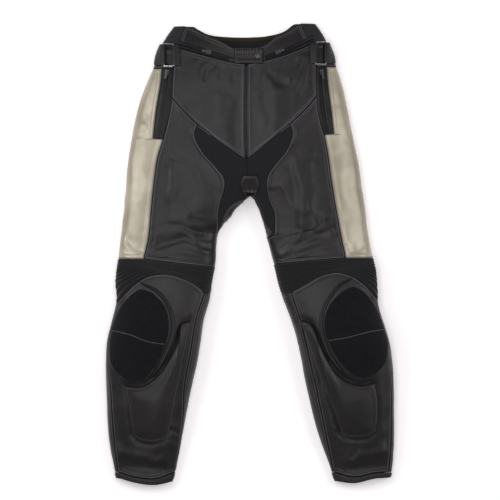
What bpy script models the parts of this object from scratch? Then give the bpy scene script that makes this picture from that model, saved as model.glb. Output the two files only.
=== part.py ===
"""Leather motorcycle pants, laid flat face up: every cut piece as its own wall, in metres, +Z up.

X runs across the garment, Y up it towards the waist, and Z up from the surface it lies on.
"left" and "right" are the sides as seen from above. The tables are in millimetres.

Each half of the garment is a ring that is carried down the leg: from the outer fold, over the top
to the inner fold (or to the centre line, above the crotch), and back along the flat underside.
A seam is a short list of (x, y) points on the garment as seen from above. An x past a fold means
that far round it, on the underside, as if the fold was opened out.
"""

import math

import bmesh
import bpy
import numpy as np
from mathutils import Matrix, Vector

MM = 0.001
SEAM = 0.3  # gap between two pieces that are sewn together
SEAT = 0.6  # gap under a piece that lies on a panel, since the panels are faceted
BENT_SEAT = 1.9  # the same where the panel bends round the outer fold
SHIFT = (-0.4, 2.5, 0.0)  # from the tables' origin to the middle of the garment's box
LEATHER = 1.8  # leather with its backing
WEB = 1.6  # strap webbing
CROTCH_Y = 131.0  # where the two legs part
VALLEY_Y = 232.0  # above this the front is one smooth dome
DOME = 2.6  # power of the dome's superellipse: 2 is round, more is boxier
FLAT_SHARE = 0.78  # share of the half width that lies flat underneath
FLY_SLIT = 1.3  # half the open slit over the fly zip
BACK_DROP = 2.0  # the seams behind the outer fold end this much lower than in front
OUTER_WRAP = (31, 0.028)  # how far behind the fold they lie at y = 0, and how that grows with y
INNER_WRAP = ((-150, 60), (16, 4))  # y, and how far behind the inner fold its seam lies there
BAND_RISE = 2.4  # height of the connection zip's two lips
BAND_HEIGHTS = (1.6, BAND_RISE, 1.7, BAND_RISE, 1.6)  # across the connection zip
BAND_WIDTHS = (16, 10)  # of the connection zip at its outer and inner end
BAND_INSET = 1.5  # from the connection zip down to the waistband's seam
LIP_RISE = 1.7  # height of the pocket zip's lips
LIP_HEIGHTS = (0.0, 1.5, LIP_RISE, 0.0, LIP_RISE, 1.5, 0.0)  # across the pocket zip
FLY_RANGE = (404, 216)  # y of the fly zip's ends
FLY_REACH = 7  # half the width of the fly zip
TAB_RANGE = (440, 407)  # y of the waist tab's edges
TAB_REACH = {"left": 27, "right": 36}  # from the centre line to each end of the waist tab
TAB_GATHER = 1.6  # height of the gathers in the tab's upper edge
RIBS = 11
RIB_HEIGHT = 2.2
HEM_Y = -471.0  # where the hem binding is sewn on, at the folds and behind
HEM_RISE = 1.0
PATCH_RISE = 3.0
WELT_WIDTH = 9.0
WELT_RISE = 3.6
GUARD_RISE = 4.0
FACING = 1.2  # facing and binding inside the back waistband
BINDING_SHARE = 0.42  # binding's width, as a share of the first row of the waistband
CENTRE_GAP = 0.001  # half the centre back seam, as a share of the half back
HAIR = 1e-6  # a turn so close to the centre line that it is on it
KNEE_BACK_Y = -60.0  # seam behind the knee
LEG_ROWS = 14  # rows of the panels below the knee
SHIN_COLUMNS = 9
TAIL_LIFT = 0.5  # extra gap under the strap's end, which crosses the panels' facets
RING_WIRE = 1.3  # radius of the adjuster ring's wire
RING_LENGTH = 22.0
ADJUSTER = {"left": (-184, 448, 401), "right": (162, 452, 405)}  # outer bar x, ring's top and foot
PULL_LENGTH = 15.0
PULL_THICK = 1.0
SLIDER_FOOT = 3.2  # from the pull's axis down to the slider's sole
SNAP_PLACE = (17, 424)
# zip, side, x and y of the pull's axis, the way the pull lies, height of the lips under the slider
ZIPS = (
    ("pocket", "left", -178, 388, (-0.135, -1), LIP_RISE),
    ("pocket", "right", 154, 388, (0.12, -1), LIP_RISE),
    ("connection", "left", -89, 431, (-1, 0.25), BAND_RISE),
    ("connection", "right", 60, 431, (1, 0.4), BAND_RISE),
)
GARMENT = "Leather Motorcycle Pants"
TOOLS = "Cutters"
SIDES = ("left", "right")

# y, outer fold x, inner fold x (centre line above the crotch), height of the top, height of the fold
SECTIONS = {
    "left": (
        (492, -160, -6, 15, 7),
        (471, -175, -6, 31, 10),
        (441, -193, -7, 43, 13),
        (404, -206, -8, 52, 16),
        (370, -220, -8, 58, 18),
        (331, -235, -9, 62, 20),
        (260, -252, -9, 66, 22),
        (190, -263, -7, 65, 22),
        (131, -268, 0, 61, 21),
        (114, -270, -9, 60, 21),
        (92, -271, -30, 59, 21),
        (73, -274, -43, 58, 21),
        (50, -276, -65, 58, 21),
        (22, -280, -71, 58, 21),
        (-15, -284, -72, 60, 21),
        (-60, -289, -81, 64, 21),
        (-100, -287, -86, 68, 21),
        (-144, -297, -99, 71, 21),
        (-187, -307, -105, 72, 21),
        (-230, -310, -112, 69, 20),
        (-316, -308, -131, 58, 18),
        (-402, -303, -147, 42, 15),
        (-471, -290, -161, 29, 11),
        (-503, -283, -171, 25, 10),
    ),
    "right": (
        (504, 132, -6, 15, 7),
        (471, 156, -6, 31, 10),
        (441, 171, -7, 43, 13),
        (404, 185, -8, 52, 16),
        (370, 196, -8, 58, 18),
        (331, 205, -9, 62, 20),
        (260, 219, -9, 66, 22),
        (190, 234, -7, 65, 22),
        (131, 242, 0, 61, 21),
        (116, 245, 8, 60, 21),
        (90, 249, 20, 59, 21),
        (55, 253, 30, 58, 21),
        (4, 262, 43, 59, 21),
        (-37, 271, 54, 62, 21),
        (-80, 274, 64, 66, 21),
        (-110, 276, 74, 69, 21),
        (-144, 286, 88, 71, 21),
        (-187, 299, 101, 72, 21),
        (-230, 306, 110, 69, 20),
        (-273, 309, 118, 63, 19),
        (-359, 310, 138, 50, 16),
        (-402, 310, 151, 42, 15),
        (-467, 305, 174, 29, 11),
        (-503, 297, 187, 25, 10),
    ),
}

# Largest folds and bulges of the top: from x, y to x, y, half width, height (below 0 is a trough)
FOLDS = {
    "left": (
        (-243, -205, -240, -160, 62, 9),
        (-215, -330, -205, -395, 34, 3),
        (-246, 318, -222, 300, 11, -4),
        (-150, 300, -95, 225, 17, 3),
        (-205, 60, -110, 95, 16, 3),
        (-190, 20, -95, 45, 13, -3),
        (-262, 30, -225, 5, 14, -3),
        (-120, 30, -90, -10, 12, 3),
        (-300, -300, -283, -400, 13, -3),
        (-285, -430, -200, -446, 11, 2.5),
        (-270, -455, -190, -462, 9, -2.5),
        (-72, 330, -62, 240, 22, 3),
    ),
    "right": (
        (238, -205, 235, -160, 62, 9),
        (228, -325, 240, -385, 34, 3),
        (215, 300, 232, 262, 11, -3),
        (132, 300, 75, 232, 17, 3),
        (190, 75, 95, 100, 16, 3),
        (180, 30, 85, 52, 13, -3),
        (255, 45, 222, 12, 14, -3),
        (100, 40, 70, -5, 12, 3),
        (300, -290, 292, -395, 13, -3),
        (290, -428, 212, -446, 11, 2.5),
        (285, -455, 215, -464, 9, -2.5),
        (55, 340, 48, 250, 22, 3),
    ),
}

# Seams as (x, y) points, from top to bottom or from the outer side to the inner side
SEAMS = {
    "left": {
        "waist_top": ((-140, 488), (-90, 466), (-60, 454), (-34, 440), (-7, 438)),
        "elastic_front": ((-140, 488), (-148, 465), (-155, 441)),
        "waist_bottom": ((-155, 441), (-100, 426), (-45, 412), (-8, 406)),
        "yoke_front": ((-155, 441), (-161, 418), (-165, 396)),
        "pocket_front": ((-165, 396), (-167, 365), (-168, 335)),
        "pocket_front_low": ((-168, 335), (-172, 305), (-179, 275), (-187, 244)),
        "yoke_bottom": ((-189, 397), (-165, 396)),
        "pocket_back": (
            (-189, 397), (-192, 366), (-197, 335), (-202, 305), (-205, 275), (-208, 246),
        ),
        "back_top": ((-119, 484), (-88, 469), (-47, 464), (-7, 463)),
        "back_bottom": ((-149, 437), (-80, 420), (-8, 412)),
        "pocket_foot": ((-208, 246), (-187, 244)),
        "gold_front": (
            (-187, 244), (-199, 204), (-205, 165), (-209, 129), (-214, 80), (-219, 30), (-229, -13),
        ),
        "vee_outer": ((-168, 335), (-141, 304), (-112, 276)),
        "vee_inner": ((-112, 276), (-59, 235), (-9, 201)),
        "gusset_outer": (
            (-112, 276), (-119, 256), (-102, 218), (-72, 184), (-55, 160), (-54, 140),
            (-61, 116), (-67, 88), (-68, 52),
        ),
        "patch_side": ((-15, 168), (-22, 145), (-9, 116)),
        "flap": ((-9, 116), (-28, 110), (-45, 99), (-57, 79), (-65, 52)),
        "knit_top": ((-229, -13), (-160, -22), (-79, -32)),
        "knit_bottom": (
            (-286, -108), (-270, -90), (-248, -68), (-218, -50), (-181, -45), (-142, -55),
            (-114, -70), (-97, -84),
        ),
        "inner_strip": (
            (-97, -84), (-114, -135), (-123, -183), (-131, -230), (-141, -288), (-144, -355),
            (-152, -418), (-161, -471),
        ),
        "outer_strip": (
            (-286, -108), (-297, -155), (-307, -200), (-308, -236), (-300, -288), (-296, -353),
            (-291, -412), (-284, -471),
        ),
        "hem_top": ((-284, -471), (-252, -481), (-205, -486), (-161, -471)),
        "hem_bottom": ((-284, -483), (-252, -493), (-205, -499), (-163, -490)),
        "shin_outer": ((-269, -284), (-261, -326), (-252, -390)),
        "shin_inner": (
            (-128, -144), (-143, -215), (-155, -280), (-166, -338), (-176, -388),
        ),
        "shin_top": (
            (-269, -284), (-232, -285), (-200, -265), (-173, -226), (-154, -185), (-146, -150), (-128, -144),
        ),
        "shin_bottom": ((-252, -390), (-240, -404), (-213, -410), (-189, -404), (-176, -388)),
        "knee_top": ((-258, -92), (-236, -78), (-210, -85)),
        "knee_inner": ((-210, -85), (-185, -112), (-175, -145), (-177, -178), (-182, -198)),
        "knee_inner_low": ((-182, -198), (-194, -226), (-210, -251), (-229, -272)),
        "knee_bottom": ((-281, -262), (-258, -275), (-229, -272)),
        "knee_outer": ((-258, -92), (-278, -118), (-293, -152), (-297, -168)),
        "knee_outer_low": ((-297, -168), (-301, -205), (-297, -240), (-281, -262)),
        "knee_cross": ((-297, -168), (-262, -176), (-220, -192), (-182, -198)),
        "welt": (
            (-236, -62), (-196, -80), (-170, -116), (-161, -154), (-167, -189), (-180, -221),
            (-197, -250), (-213, -269),
        ),
    },
    "right": {
        "waist_top": ((110, 494), (80, 475), (55, 464), (30, 446), (-7, 438)),
        "elastic_front": ((110, 494), (120, 470), (136, 452)),
        "waist_bottom": ((136, 452), (96, 434), (33, 414), (-8, 406)),
        "yoke_front": ((136, 452), (140, 425), (143, 400)),
        "pocket_front": ((143, 400), (143, 368), (144, 339)),
        "pocket_front_low": ((144, 339), (146, 312), (152, 282), (160, 254)),
        "yoke_bottom": ((164, 401), (143, 400)),
        "pocket_back": (
            (164, 401), (167, 368), (170, 339), (174, 312), (177, 282), (180, 256),
        ),
        "back_top": ((92, 490), (73, 476), (36, 466), (-7, 463)),
        "back_bottom": ((121, 448), (66, 424), (-8, 412)),
        "pocket_foot": ((180, 256), (160, 254)),
        "gold_front": (
            (160, 254), (168, 210), (174, 165), (181, 120), (189, 74), (197, 32), (206, -11),
        ),
        "vee_outer": ((144, 339), (116, 306), (86, 278)),
        "vee_inner": ((86, 278), (38, 238), (-7, 201)),
        "gusset_outer": (
            (86, 278), (91, 256), (79, 222), (54, 190), (38, 166), (35, 142),
            (40, 116), (52, 84), (53, 46),
        ),
        "patch_side": ((15, 168), (22, 145), (9, 115)),
        "flap": ((9, 115), (19, 98), (27, 80), (36, 60), (48, 46)),
        "knit_top": ((206, -11), (130, -17), (53, -26)),
        "knit_bottom": (
            (273, -100), (261, -84), (244, -66), (217, -49), (186, -41), (153, -48), (124, -64), (88, -85),
        ),
        "inner_strip": (
            (88, -85), (104, -132), (117, -183), (128, -230), (142, -288), (155, -350),
            (169, -418), (179, -471),
        ),
        "outer_strip": (
            (273, -100), (282, -150), (301, -200), (308, -236), (305, -288), (304, -353),
            (303, -412), (298, -471),
        ),
        "hem_top": ((298, -471), (265, -474), (225, -482), (179, -471)),
        "hem_bottom": ((298, -481), (265, -486), (225, -495), (182, -490)),
        "shin_outer": ((268, -278), (274, -326), (271, -382)),
        "shin_inner": (
            (110, -144), (135, -215), (158, -280), (180, -334), (196, -384),
        ),
        "shin_top": (
            (268, -278), (234, -283), (194, -266), (166, -226), (147, -185), (130, -150), (110, -144),
        ),
        "shin_bottom": ((271, -382), (258, -395), (236, -400), (212, -397), (196, -384)),
        "knee_top": ((246, -84), (223, -73), (198, -83)),
        "knee_inner": ((198, -83), (175, -106), (162, -134), (160, -162), (167, -190)),
        "knee_inner_low": ((167, -190), (180, -214), (197, -239), (220, -262)),
        "knee_bottom": ((270, -260), (246, -269), (220, -262)),
        "knee_outer": ((246, -84), (265, -110), (280, -142), (288, -166)),
        "knee_outer_low": ((288, -166), (295, -198), (290, -236), (270, -260)),
        "knee_cross": ((288, -166), (252, -172), (210, -183), (167, -190)),
        "welt": (
            (219, -54), (192, -65), (172, -88), (155, -118), (149, -148), (153, -180),
            (165, -213), (184, -242), (203, -262),
        ),
    },
}

# name: (sRGB hex, roughness, metallic)
FINISHES = {
    "black leather": ("#383538", 0.42, 0.0),
    "stretch cloth": ("#221f25", 0.85, 0.0),
    "elastic web": ("#1d1c20", 0.8, 0.0),
    "hook and loop": ("#17171b", 0.95, 0.0),
    "champagne leather": ("#c2b9a4", 0.38, 0.25),
    "lining cloth": ("#26232a", 0.8, 0.0),
    "olive binding": ("#3a3525", 0.8, 0.0),
    "zip tape": ("#17161a", 0.55, 0.0),
    "strap leather": ("#2f2d30", 0.5, 0.0),
    "chromed steel": ("#c9c9cc", 0.15, 1.0),
    "dark zinc": ("#4a4a4e", 0.35, 0.9),
}


# Blender helpers

def clear_scene():
    """Removes every object of the open file."""
    for obj in list(bpy.data.objects):
        bpy.data.objects.remove(obj, do_unlink=True)


def linear(channel):
    """One sRGB channel from 0 to 1 as linear light."""
    return channel / 12.92 if channel <= 0.04045 else ((channel + 0.055) / 1.055) ** 2.4


def finish(name):
    """The Principled material of one finish, made once."""
    if name in bpy.data.materials:
        return bpy.data.materials[name]
    colour, roughness, metallic = FINISHES[name]
    made = bpy.data.materials.new(name)
    made.use_nodes = True
    shader = made.node_tree.nodes["Principled BSDF"]
    channels = [linear(int(colour[i:i + 2], 16) / 255) for i in (1, 3, 5)]
    shader.inputs["Base Color"].default_value = (*channels, 1)
    shader.inputs["Roughness"].default_value = roughness
    shader.inputs["Metallic"].default_value = metallic
    made.diffuse_color = (*channels, 1)
    return made


def place(name, mesh, material, matrix=None):
    """A named object of the garment's collection."""
    obj = bpy.data.objects.new(name, mesh)
    if not mesh.materials:
        mesh.materials.append(finish(material))
    bpy.data.collections[GARMENT].objects.link(obj)
    if matrix is not None:
        obj.matrix_world = matrix
    return obj


def shaded(mesh, angle=35):
    """Smooth shading, with edges sharper than the angle kept."""
    mesh.shade_smooth()
    mesh.set_sharp_from_angle(angle=math.radians(angle))
    return mesh


def wall_mesh(name, outer, inner, loop=False):
    """Closed wall between two grids of points in millimetres; loop joins its last column to the first."""
    rows, columns = outer.shape[:2]
    points = np.concatenate([outer.reshape(-1, 3), inner.reshape(-1, 3)]) * MM
    index = np.arange(rows * columns).reshape(rows, columns)
    if loop:
        index = np.concatenate([index, index[:, :1]], axis=1)
    under = index + rows * columns
    skin = split(shorter_first(strip(index[:-1], index[1:]), points))
    rims = [strip(under[:1], index[:1]), strip(index[-1:], under[-1:])]
    if not loop:
        rims += [strip(index[:, :1].T, under[:, :1].T), strip(under[:, -1:].T, index[:, -1:].T)]
    inside = (skin + rows * columns)[:, ::-1]
    faces = np.concatenate([skin, inside] + [split(rim) for rim in rims])
    corners = points[faces]
    volume = np.einsum("ij,ij->i", corners[:, 0], np.cross(corners[:, 1], corners[:, 2])).sum()
    if volume < 0:
        faces = faces[:, ::-1]
    mesh = bpy.data.meshes.new(name)
    mesh.from_pydata(points.tolist(), [], faces.tolist())
    return shaded(mesh)


def strip(first, second):
    """Quads between two equal grids of vertex numbers, one row apart."""
    return np.stack(
        [first[:, :-1], second[:, :-1], second[:, 1:], first[:, 1:]], axis=-1
    ).reshape(-1, 4)


def shorter_first(quads, points):
    """Quads turned so that each starts at an end of its shorter diagonal."""
    a, b, c, d = points[quads].transpose(1, 0, 2)
    longer = np.linalg.norm(c - a, axis=1) > np.linalg.norm(d - b, axis=1)
    return np.where(longer[:, None], np.roll(quads, -1, axis=1), quads)


def split(quads):
    """Each quad as two triangles."""
    return np.concatenate([quads[:, [0, 1, 2]], quads[:, [0, 2, 3]]])


# The form of the garment

def smooth(at, values, where):
    """Cubic curve through the values, whose slope at each is the mean of the steps beside it."""
    steps = np.diff(values) / np.diff(at)
    slopes = np.concatenate([steps[:1], (steps[1:] + steps[:-1]) / 2, steps[-1:]])
    where = np.clip(where, at[0], at[-1])
    i = np.clip(np.searchsorted(at, where) - 1, 0, len(at) - 2)
    span = at[i + 1] - at[i]
    t = (where - at[i]) / span
    return (
        (1 + 2 * t) * (1 - t) ** 2 * values[i]
        + t * (1 - t) ** 2 * span * slopes[i]
        + t ** 2 * (3 - 2 * t) * values[i + 1]
        + t ** 2 * (t - 1) * span * slopes[i + 1]
    )


def section(side, y):
    """Outer fold, inner fold, top and fold heights at y."""
    table = np.array(SECTIONS[side], float)[::-1]
    found = [smooth(table[:, 0], table[:, column], y) for column in range(1, 5)]
    found[1] = np.where(y >= CROTCH_Y, np.interp(y, table[:, 0], table[:, 2]), found[1])
    return found


def closing(y):
    """0 where the front is one dome to the centre line, 1 where the leg is a closed tube."""
    share = np.clip((VALLEY_Y - y) / (VALLEY_Y - CROTCH_Y), 0, 1)
    return share ** 2


def relief(side, x, y):
    """Height that the largest folds and bulges add at a place seen from above."""
    height = np.zeros(np.broadcast(x, y).shape)
    for x0, y0, x1, y1, width, rise in FOLDS[side]:
        along = np.clip(
            ((x - x0) * (x1 - x0) + (y - y0) * (y1 - y0)) / ((x1 - x0) ** 2 + (y1 - y0) ** 2), 0, 1
        )
        away = np.hypot(x - x0 - along * (x1 - x0), y - y0 - along * (y1 - y0))
        height = height + rise * np.exp(-((away / width) ** 2))
    return height


def surface(side, turn, y):
    """Point of the outer skin. turn is 0 at the outer fold and 1 at the inner fold or centre line
    of the top; from 1 to 2, and from -1 to 0, it comes back along the underside."""
    turn = np.where(turn > 1, turn - 2, turn)
    outer, inner, top, fold = section(side, y)
    close = closing(y)
    reach = (inner - outer) / (1 + close)
    across = -np.cos(np.abs(turn) * np.arccos(-close))
    x = outer + reach * (1 + across)
    dome = (1 - np.minimum(np.abs(across), 1) ** DOME) ** (1 / DOME)
    past = np.clip((np.abs(across) - FLAT_SHARE) / (1 - FLAT_SHARE), 0, 1)
    above = fold + (top - fold + relief(side, x, y)) * dome
    below = fold * (1 - np.sqrt(1 - past ** 2))
    return np.stack([x, y + 0 * x, np.where(turn >= 0, above, below)], axis=-1)


def turn_at(side, x, y):
    """The turn of a place seen from above; past a fold, x goes on round it."""
    outer, inner = section(side, y)[:2]
    close = closing(y)
    reach = (inner - outer) / (1 + close)
    gone = (x - outer) / reach
    widest = np.arccos(-close)
    below = np.arccos(np.clip(1 - np.abs(gone), -1, 1)) / widest
    past_inner = np.arccos(np.clip(gone - 3, -1, 1)) / widest
    turn = np.where(gone < 0, -below, np.arccos(np.clip(1 - gone, -1, 1)) / widest)
    return np.where((gone > 2) & (close >= 1), 2 - past_inner, turn)


def outward(side, turn, y):
    """Unit normal of the skin, from the steps round the ring and along the leg."""
    step, stride = 0.004, 0.5
    tube = closing(y + stride) >= 1
    low, high = np.where(turn > 1, 1.0, -1.0), np.where(turn > 1, 3.0, 1.0)
    ahead = np.where(tube, turn + step, np.minimum(turn + step, high))
    behind = np.where(tube, turn - step, np.maximum(turn - step, low + HAIR))
    around = surface(side, ahead, y) - surface(side, behind, y)
    along = surface(side, turn, y + stride) - surface(side, turn, y - stride)
    facing = np.cross(around, along) if side == "left" else np.cross(along, around)
    return facing / np.linalg.norm(facing, axis=-1, keepdims=True)


# Seams and panels

def route(points, count):
    """A seam's points, evened out along a smooth curve through them: count steps of like length."""
    points = np.array(points, float)
    gone = np.concatenate([[0], np.cumsum(np.linalg.norm(np.diff(points, axis=0), axis=1))])
    where = np.linspace(0, gone[-1], count + 1)
    if len(points) == 2:
        return points[0] + np.linspace(0, 1, count + 1)[:, None] * (points[1] - points[0])
    return np.stack([smooth(gone, points[:, i], where) for i in (0, 1)], axis=-1)


def seam(side, name, count):
    """A named seam of one side as (x, y) points."""
    return route(SEAMS[side][name], count)


def joined(*parts):
    """Seams one after the other, with no point twice."""
    return np.concatenate([parts[0]] + [part[1:] for part in parts[1:]])


def side_sign(side):
    return -1 if side == "left" else 1


def outer_back(side, y):
    """x of the seam behind the outer fold: it runs closer to the fold towards the hem."""
    y = np.asarray(y, float)
    return section(side, y)[0] + side_sign(side) * (OUTER_WRAP[0] + OUTER_WRAP[1] * y)


def inner_back(side, y):
    """x of the seam behind the inner fold of the leg."""
    y = np.asarray(y, float)
    return section(side, y)[1] - side_sign(side) * np.interp(y, *INNER_WRAP)


def centre(side, y, aside=0.0):
    """x of the centre line, or a little to this side of it."""
    return section(side, np.asarray(y, float))[1] + side_sign(side) * aside


def line(x_of, side, y_from, y_to, count, *more):
    """Points of a line that is given as x from y."""
    y = np.linspace(y_from, y_to, count + 1)
    return np.stack([x_of(side, y, *more), y], axis=-1)


def unrolled(side, points, under=False):
    """(x, y) points as (turn, y); under puts them on the underside, counted on from the inner fold."""
    turn = turn_at(side, points[:, 0], points[:, 1])
    return np.stack([2 - np.abs(turn) if under else turn, points[:, 1]], axis=-1)


def blended(top, bottom, left, right):
    """Grid of (turn, y) between four borders that meet at their ends."""
    r = np.linspace(0, 1, len(left))[:, None, None]
    c = np.linspace(0, 1, len(top))[None, :, None]
    corners = (
        (1 - r) * (1 - c) * top[0] + (1 - r) * c * top[-1] + r * (1 - c) * bottom[0] + r * c * bottom[-1]
    )
    sides = (1 - c) * left[:, None] + c * right[:, None]
    ends = (1 - r) * top[None] + r * bottom[None]
    return sides + ends - corners


def seamed(side, grid, gap=SEAM / 2, halved=False):
    """The grid with its border drawn in by the gap, measured square to each edge on the skin.
    A halved grid keeps its first column, which is on the centre line."""
    grid = grid.copy()
    for flip in (False, True):
        view = grid.transpose(1, 0, 2) if flip else grid
        points = surface(side, view[..., 0], view[..., 1])
        for edge, near in ((-1, -2),) if flip and halved else ((0, 1), (-1, -2)):
            along = np.gradient(points[edge], axis=0)
            inward = points[near] - points[edge]
            square = np.linalg.norm(np.cross(inward, along), axis=-1) / np.linalg.norm(along, axis=-1)
            share = np.minimum(gap / np.maximum(square, 1e-6), 0.4)
            view[edge] += (view[near] - view[edge]) * share[:, None]
    return grid


def lifted(side, grid, lift):
    """Points of the skin at a (turn, y) grid, moved out by lift."""
    turn, y = grid[..., 0], grid[..., 1]
    lift = np.broadcast_to(lift, turn.shape)[..., None]
    return surface(side, turn, y) + outward(side, turn, y) * lift + np.array(SHIFT)


def panel(name, side, material, borders, low=-LEATHER, high=0.0, gap=SEAM / 2):
    """Wall between four borders: high and low are its two faces, measured out from the skin."""
    grid = seamed(side, blended(*borders), gap)
    mesh = wall_mesh(name, lifted(side, grid, high), lifted(side, grid, low))
    return place(name, mesh, material)


def box_of(side, top, bottom, left, right):
    """Borders in (x, y) as borders in (turn, y)."""
    return [unrolled(side, points) for points in (top, bottom, left, right)]


# Torso

def waist_front(side):
    top = seam(side, "waist_top", 7)
    bottom = seam(side, "waist_bottom", 7)
    for edge in (top, bottom):
        edge[-1, 0] = centre(side, edge[-1, 1], SEAM)
    left = seam(side, "elastic_front", 3)
    right = route((top[-1], bottom[-1]), 3)
    panel(f"waistband_front_{side}", side, "black leather", box_of(side, top, bottom, left, right))


def connection_zip(side):
    """Zip band along the foot of the waistband, to join a jacket."""
    bottom = route(SEAMS[side]["waist_bottom"][:3], 8)
    bottom[:, 1] += BAND_INSET
    top = bottom + np.array([(0.0, 1.0)]) * np.linspace(*BAND_WIDTHS, 9)[:, None]
    left, right = route((top[0], bottom[0]), 4), route((top[-1], bottom[-1]), 4)
    borders = box_of(side, top, bottom, left, right)
    rise = np.array(BAND_HEIGHTS)[:, None]
    panel(f"connection_zip_{side}", side, "zip tape", borders, low=SEAM, high=rise)


def side_elastic(side):
    front = seam(side, "elastic_front", 3)
    y = front[:, 1] - BACK_DROP
    back = np.stack([outer_back(side, y), y], axis=-1)
    top, bottom = route((back[0], front[0]), 7), route((back[-1], front[-1]), 7)
    panel(f"side_elastic_{side}", side, "elastic web", box_of(side, top, bottom, back, front))


def side_yoke(side):
    """Leather under the waist adjuster, round the outer fold."""
    front = seam(side, "yoke_front", 2)
    foot = seam(side, "yoke_bottom", 2)
    back = line(outer_back, side, front[0, 1] - BACK_DROP, foot[0, 1] - BACK_DROP, 2)
    top = route((back[0], front[0]), 7)
    bottom = joined(route((back[-1], foot[0]), 5), foot)
    panel(f"side_yoke_{side}", side, "black leather", box_of(side, top, bottom, back, front))


def front_panel(side):
    top = seam(side, "waist_bottom", 7)
    top[-1, 0] = centre(side, top[-1, 1], FLY_SLIT)
    bottom = joined(seam(side, "vee_outer", 3), seam(side, "vee_inner", 4))
    bottom[-1, 0] = centre(side, bottom[-1, 1], SEAM)
    left = joined(seam(side, "yoke_front", 2), seam(side, "pocket_front", 3))
    right = line(centre, side, top[-1, 1], bottom[-1, 1], 5, FLY_SLIT)
    right[-1] = bottom[-1]
    panel(f"front_{side}", side, "black leather", box_of(side, top, bottom, left, right))


def pocket_zip(side):
    """Zip of the hand pocket: two raised lips of shiny tape with the teeth between them."""
    back = seam(side, "pocket_back", 7)
    front = joined(seam(side, "pocket_front", 3), seam(side, "pocket_front_low", 4))
    top, bottom = route((back[0], front[0]), 6), route((back[-1], front[-1]), 6)
    rise = np.array(LIP_HEIGHTS)[None, :]
    panel(f"pocket_zip_{side}", side, "zip tape", box_of(side, top, bottom, back, front), high=rise)


def side_panel(side):
    front = joined(seam(side, "pocket_back", 7), seam(side, "pocket_foot", 1), seam(side, "gold_front", 12))
    y = front[:, 1] - BACK_DROP
    y[-1] = front[-1, 1]
    back = np.stack([outer_back(side, y), y], axis=-1)
    top, bottom = route((back[0], front[0]), 5), route((back[-1], front[-1]), 5)
    panel(f"side_panel_{side}", side, "champagne leather", box_of(side, top, bottom, back, front))


def knit_head(side):
    """Seam between the thigh and the knee's stretch panel."""
    first = SEAMS[side]["knit_top"]
    end_y = first[-1][1]
    return route((*first[:2], (inner_back(side, end_y), end_y)), 6)


def thigh_front(side):
    top, bottom = seam(side, "vee_outer", 6), knit_head(side)
    left = joined(seam(side, "pocket_front_low", 4), seam(side, "gold_front", 12))
    crotch = seam(side, "gusset_outer", 12)
    inseam = line(inner_back, side, crotch[-1, 1], bottom[-1, 1], 4)
    right = np.concatenate([crotch, inseam[1:]])
    panel(f"thigh_front_{side}", side, "black leather", box_of(side, top, bottom, left, right))


def gusset(side):
    """Stretch cloth from the front seam down to the inner thigh, cut round the crotch patch."""
    sign = side_sign(side)
    outer = seam(side, "gusset_outer", 12)
    outer[0, 1] -= SEAM
    outer[-1, 0] -= sign * 0.6
    tip = outer[0] + (-sign * 4, -2.8)
    head = np.array(SEAMS[side]["patch_side"][0], float)
    low = np.array([centre(side, head[1], SEAM), head[1]])
    vee = route((tip, *SEAMS[side]["vee_inner"][1:]), 3)
    vee[-1, 0] = centre(side, vee[-1, 1], SEAM)
    inner = joined(
        vee, route((vee[-1], low), 1), route((low, head), 1),
        seam(side, "patch_side", 4), seam(side, "flap", 3),
    )
    top, bottom = route((outer[0], inner[0]), 4), route((outer[-1], inner[-1]), 4)
    panel(f"crotch_gusset_{side}", side, "stretch cloth", box_of(side, top, bottom, outer, inner), gap=SEAM)


def across_centre(grids, lifts):
    """Points of both sides as one grid. Each side's own grid starts at the centre line."""
    left, right = (lifted(side, grids[side], lifts[side]) for side in SIDES)
    middle = (left[:, :1] + right[:, :1]) / 2
    return np.concatenate([left[:, :0:-1], middle, right[:, 1:]], axis=1)


def spanning(name, material, grids, low, high):
    """One wall across the centre line."""
    faces = [across_centre(grids, dict.fromkeys(SIDES, lift)) for lift in (high, low)]
    return place(name, wall_mesh(name, *faces), material)


def crotch_patch():
    """Saddle where the panels meet, over the arch between the legs and up the back."""
    grids = {}
    for side in SIDES:
        ends = unrolled(side, seam(side, "patch_side", 4))
        ends[-1, 0] = 1
        drop = np.linspace(1, 0, 5) ** 2
        spine = np.stack([np.ones(5), CROTCH_Y + drop * (ends[0, 1] - CROTCH_Y)], axis=-1)
        share = np.linspace(0, 1, 4)[None, :, None]
        front = spine[:, None] * (1 - share) + ends[:, None] * share
        under = front[::-1][1:].copy()
        under[..., 0] = 2 - np.minimum(under[..., 0], 1 - HAIR)
        grids[side] = seamed(side, np.concatenate([front, under]), gap=SEAM, halved=True)
    spanning("crotch_patch", "black leather", grids, -LEATHER, 0.0)


def half_band(side, y_top, y_bottom, reach, rows, columns):
    """Grid beside the centre line, from y_top to y_bottom and out to the reach."""
    y = np.linspace(y_top, y_bottom, rows + 1)[:, None] + np.zeros(columns + 1)
    x = centre(side, y) + side_sign(side) * np.linspace(0, reach, columns + 1)
    return np.stack([turn_at(side, x, y), y], axis=-1)


def fly_zip():
    """Zip that shows in the slit of the fly, behind the two fronts."""
    grids = {side: half_band(side, *FLY_RANGE, FLY_REACH, 9, 1) for side in SIDES}
    spanning("fly_zip", "zip tape", grids, -LEATHER - SEAT - FACING, -LEATHER - SEAT)


def waist_tab():
    """Tab over the fly's top, gathered along its upper edge."""
    columns = 6
    grids = {side: half_band(side, *TAB_RANGE, reach, 4, columns) for side, reach in TAB_REACH.items()}
    fading = np.array([1, 0.4, 0, 0, 0])[:, None]
    gathers = SEAM + LEATHER + TAB_GATHER * fading * (np.arange(columns + 1) % 2)
    rise = dict.fromkeys(SIDES, gathers)
    faces = [across_centre(grids, lift) for lift in (rise, dict.fromkeys(SIDES, SEAM))]
    place("waist_tab", wall_mesh("waist_tab", *faces), "black leather")


# Legs

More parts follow.
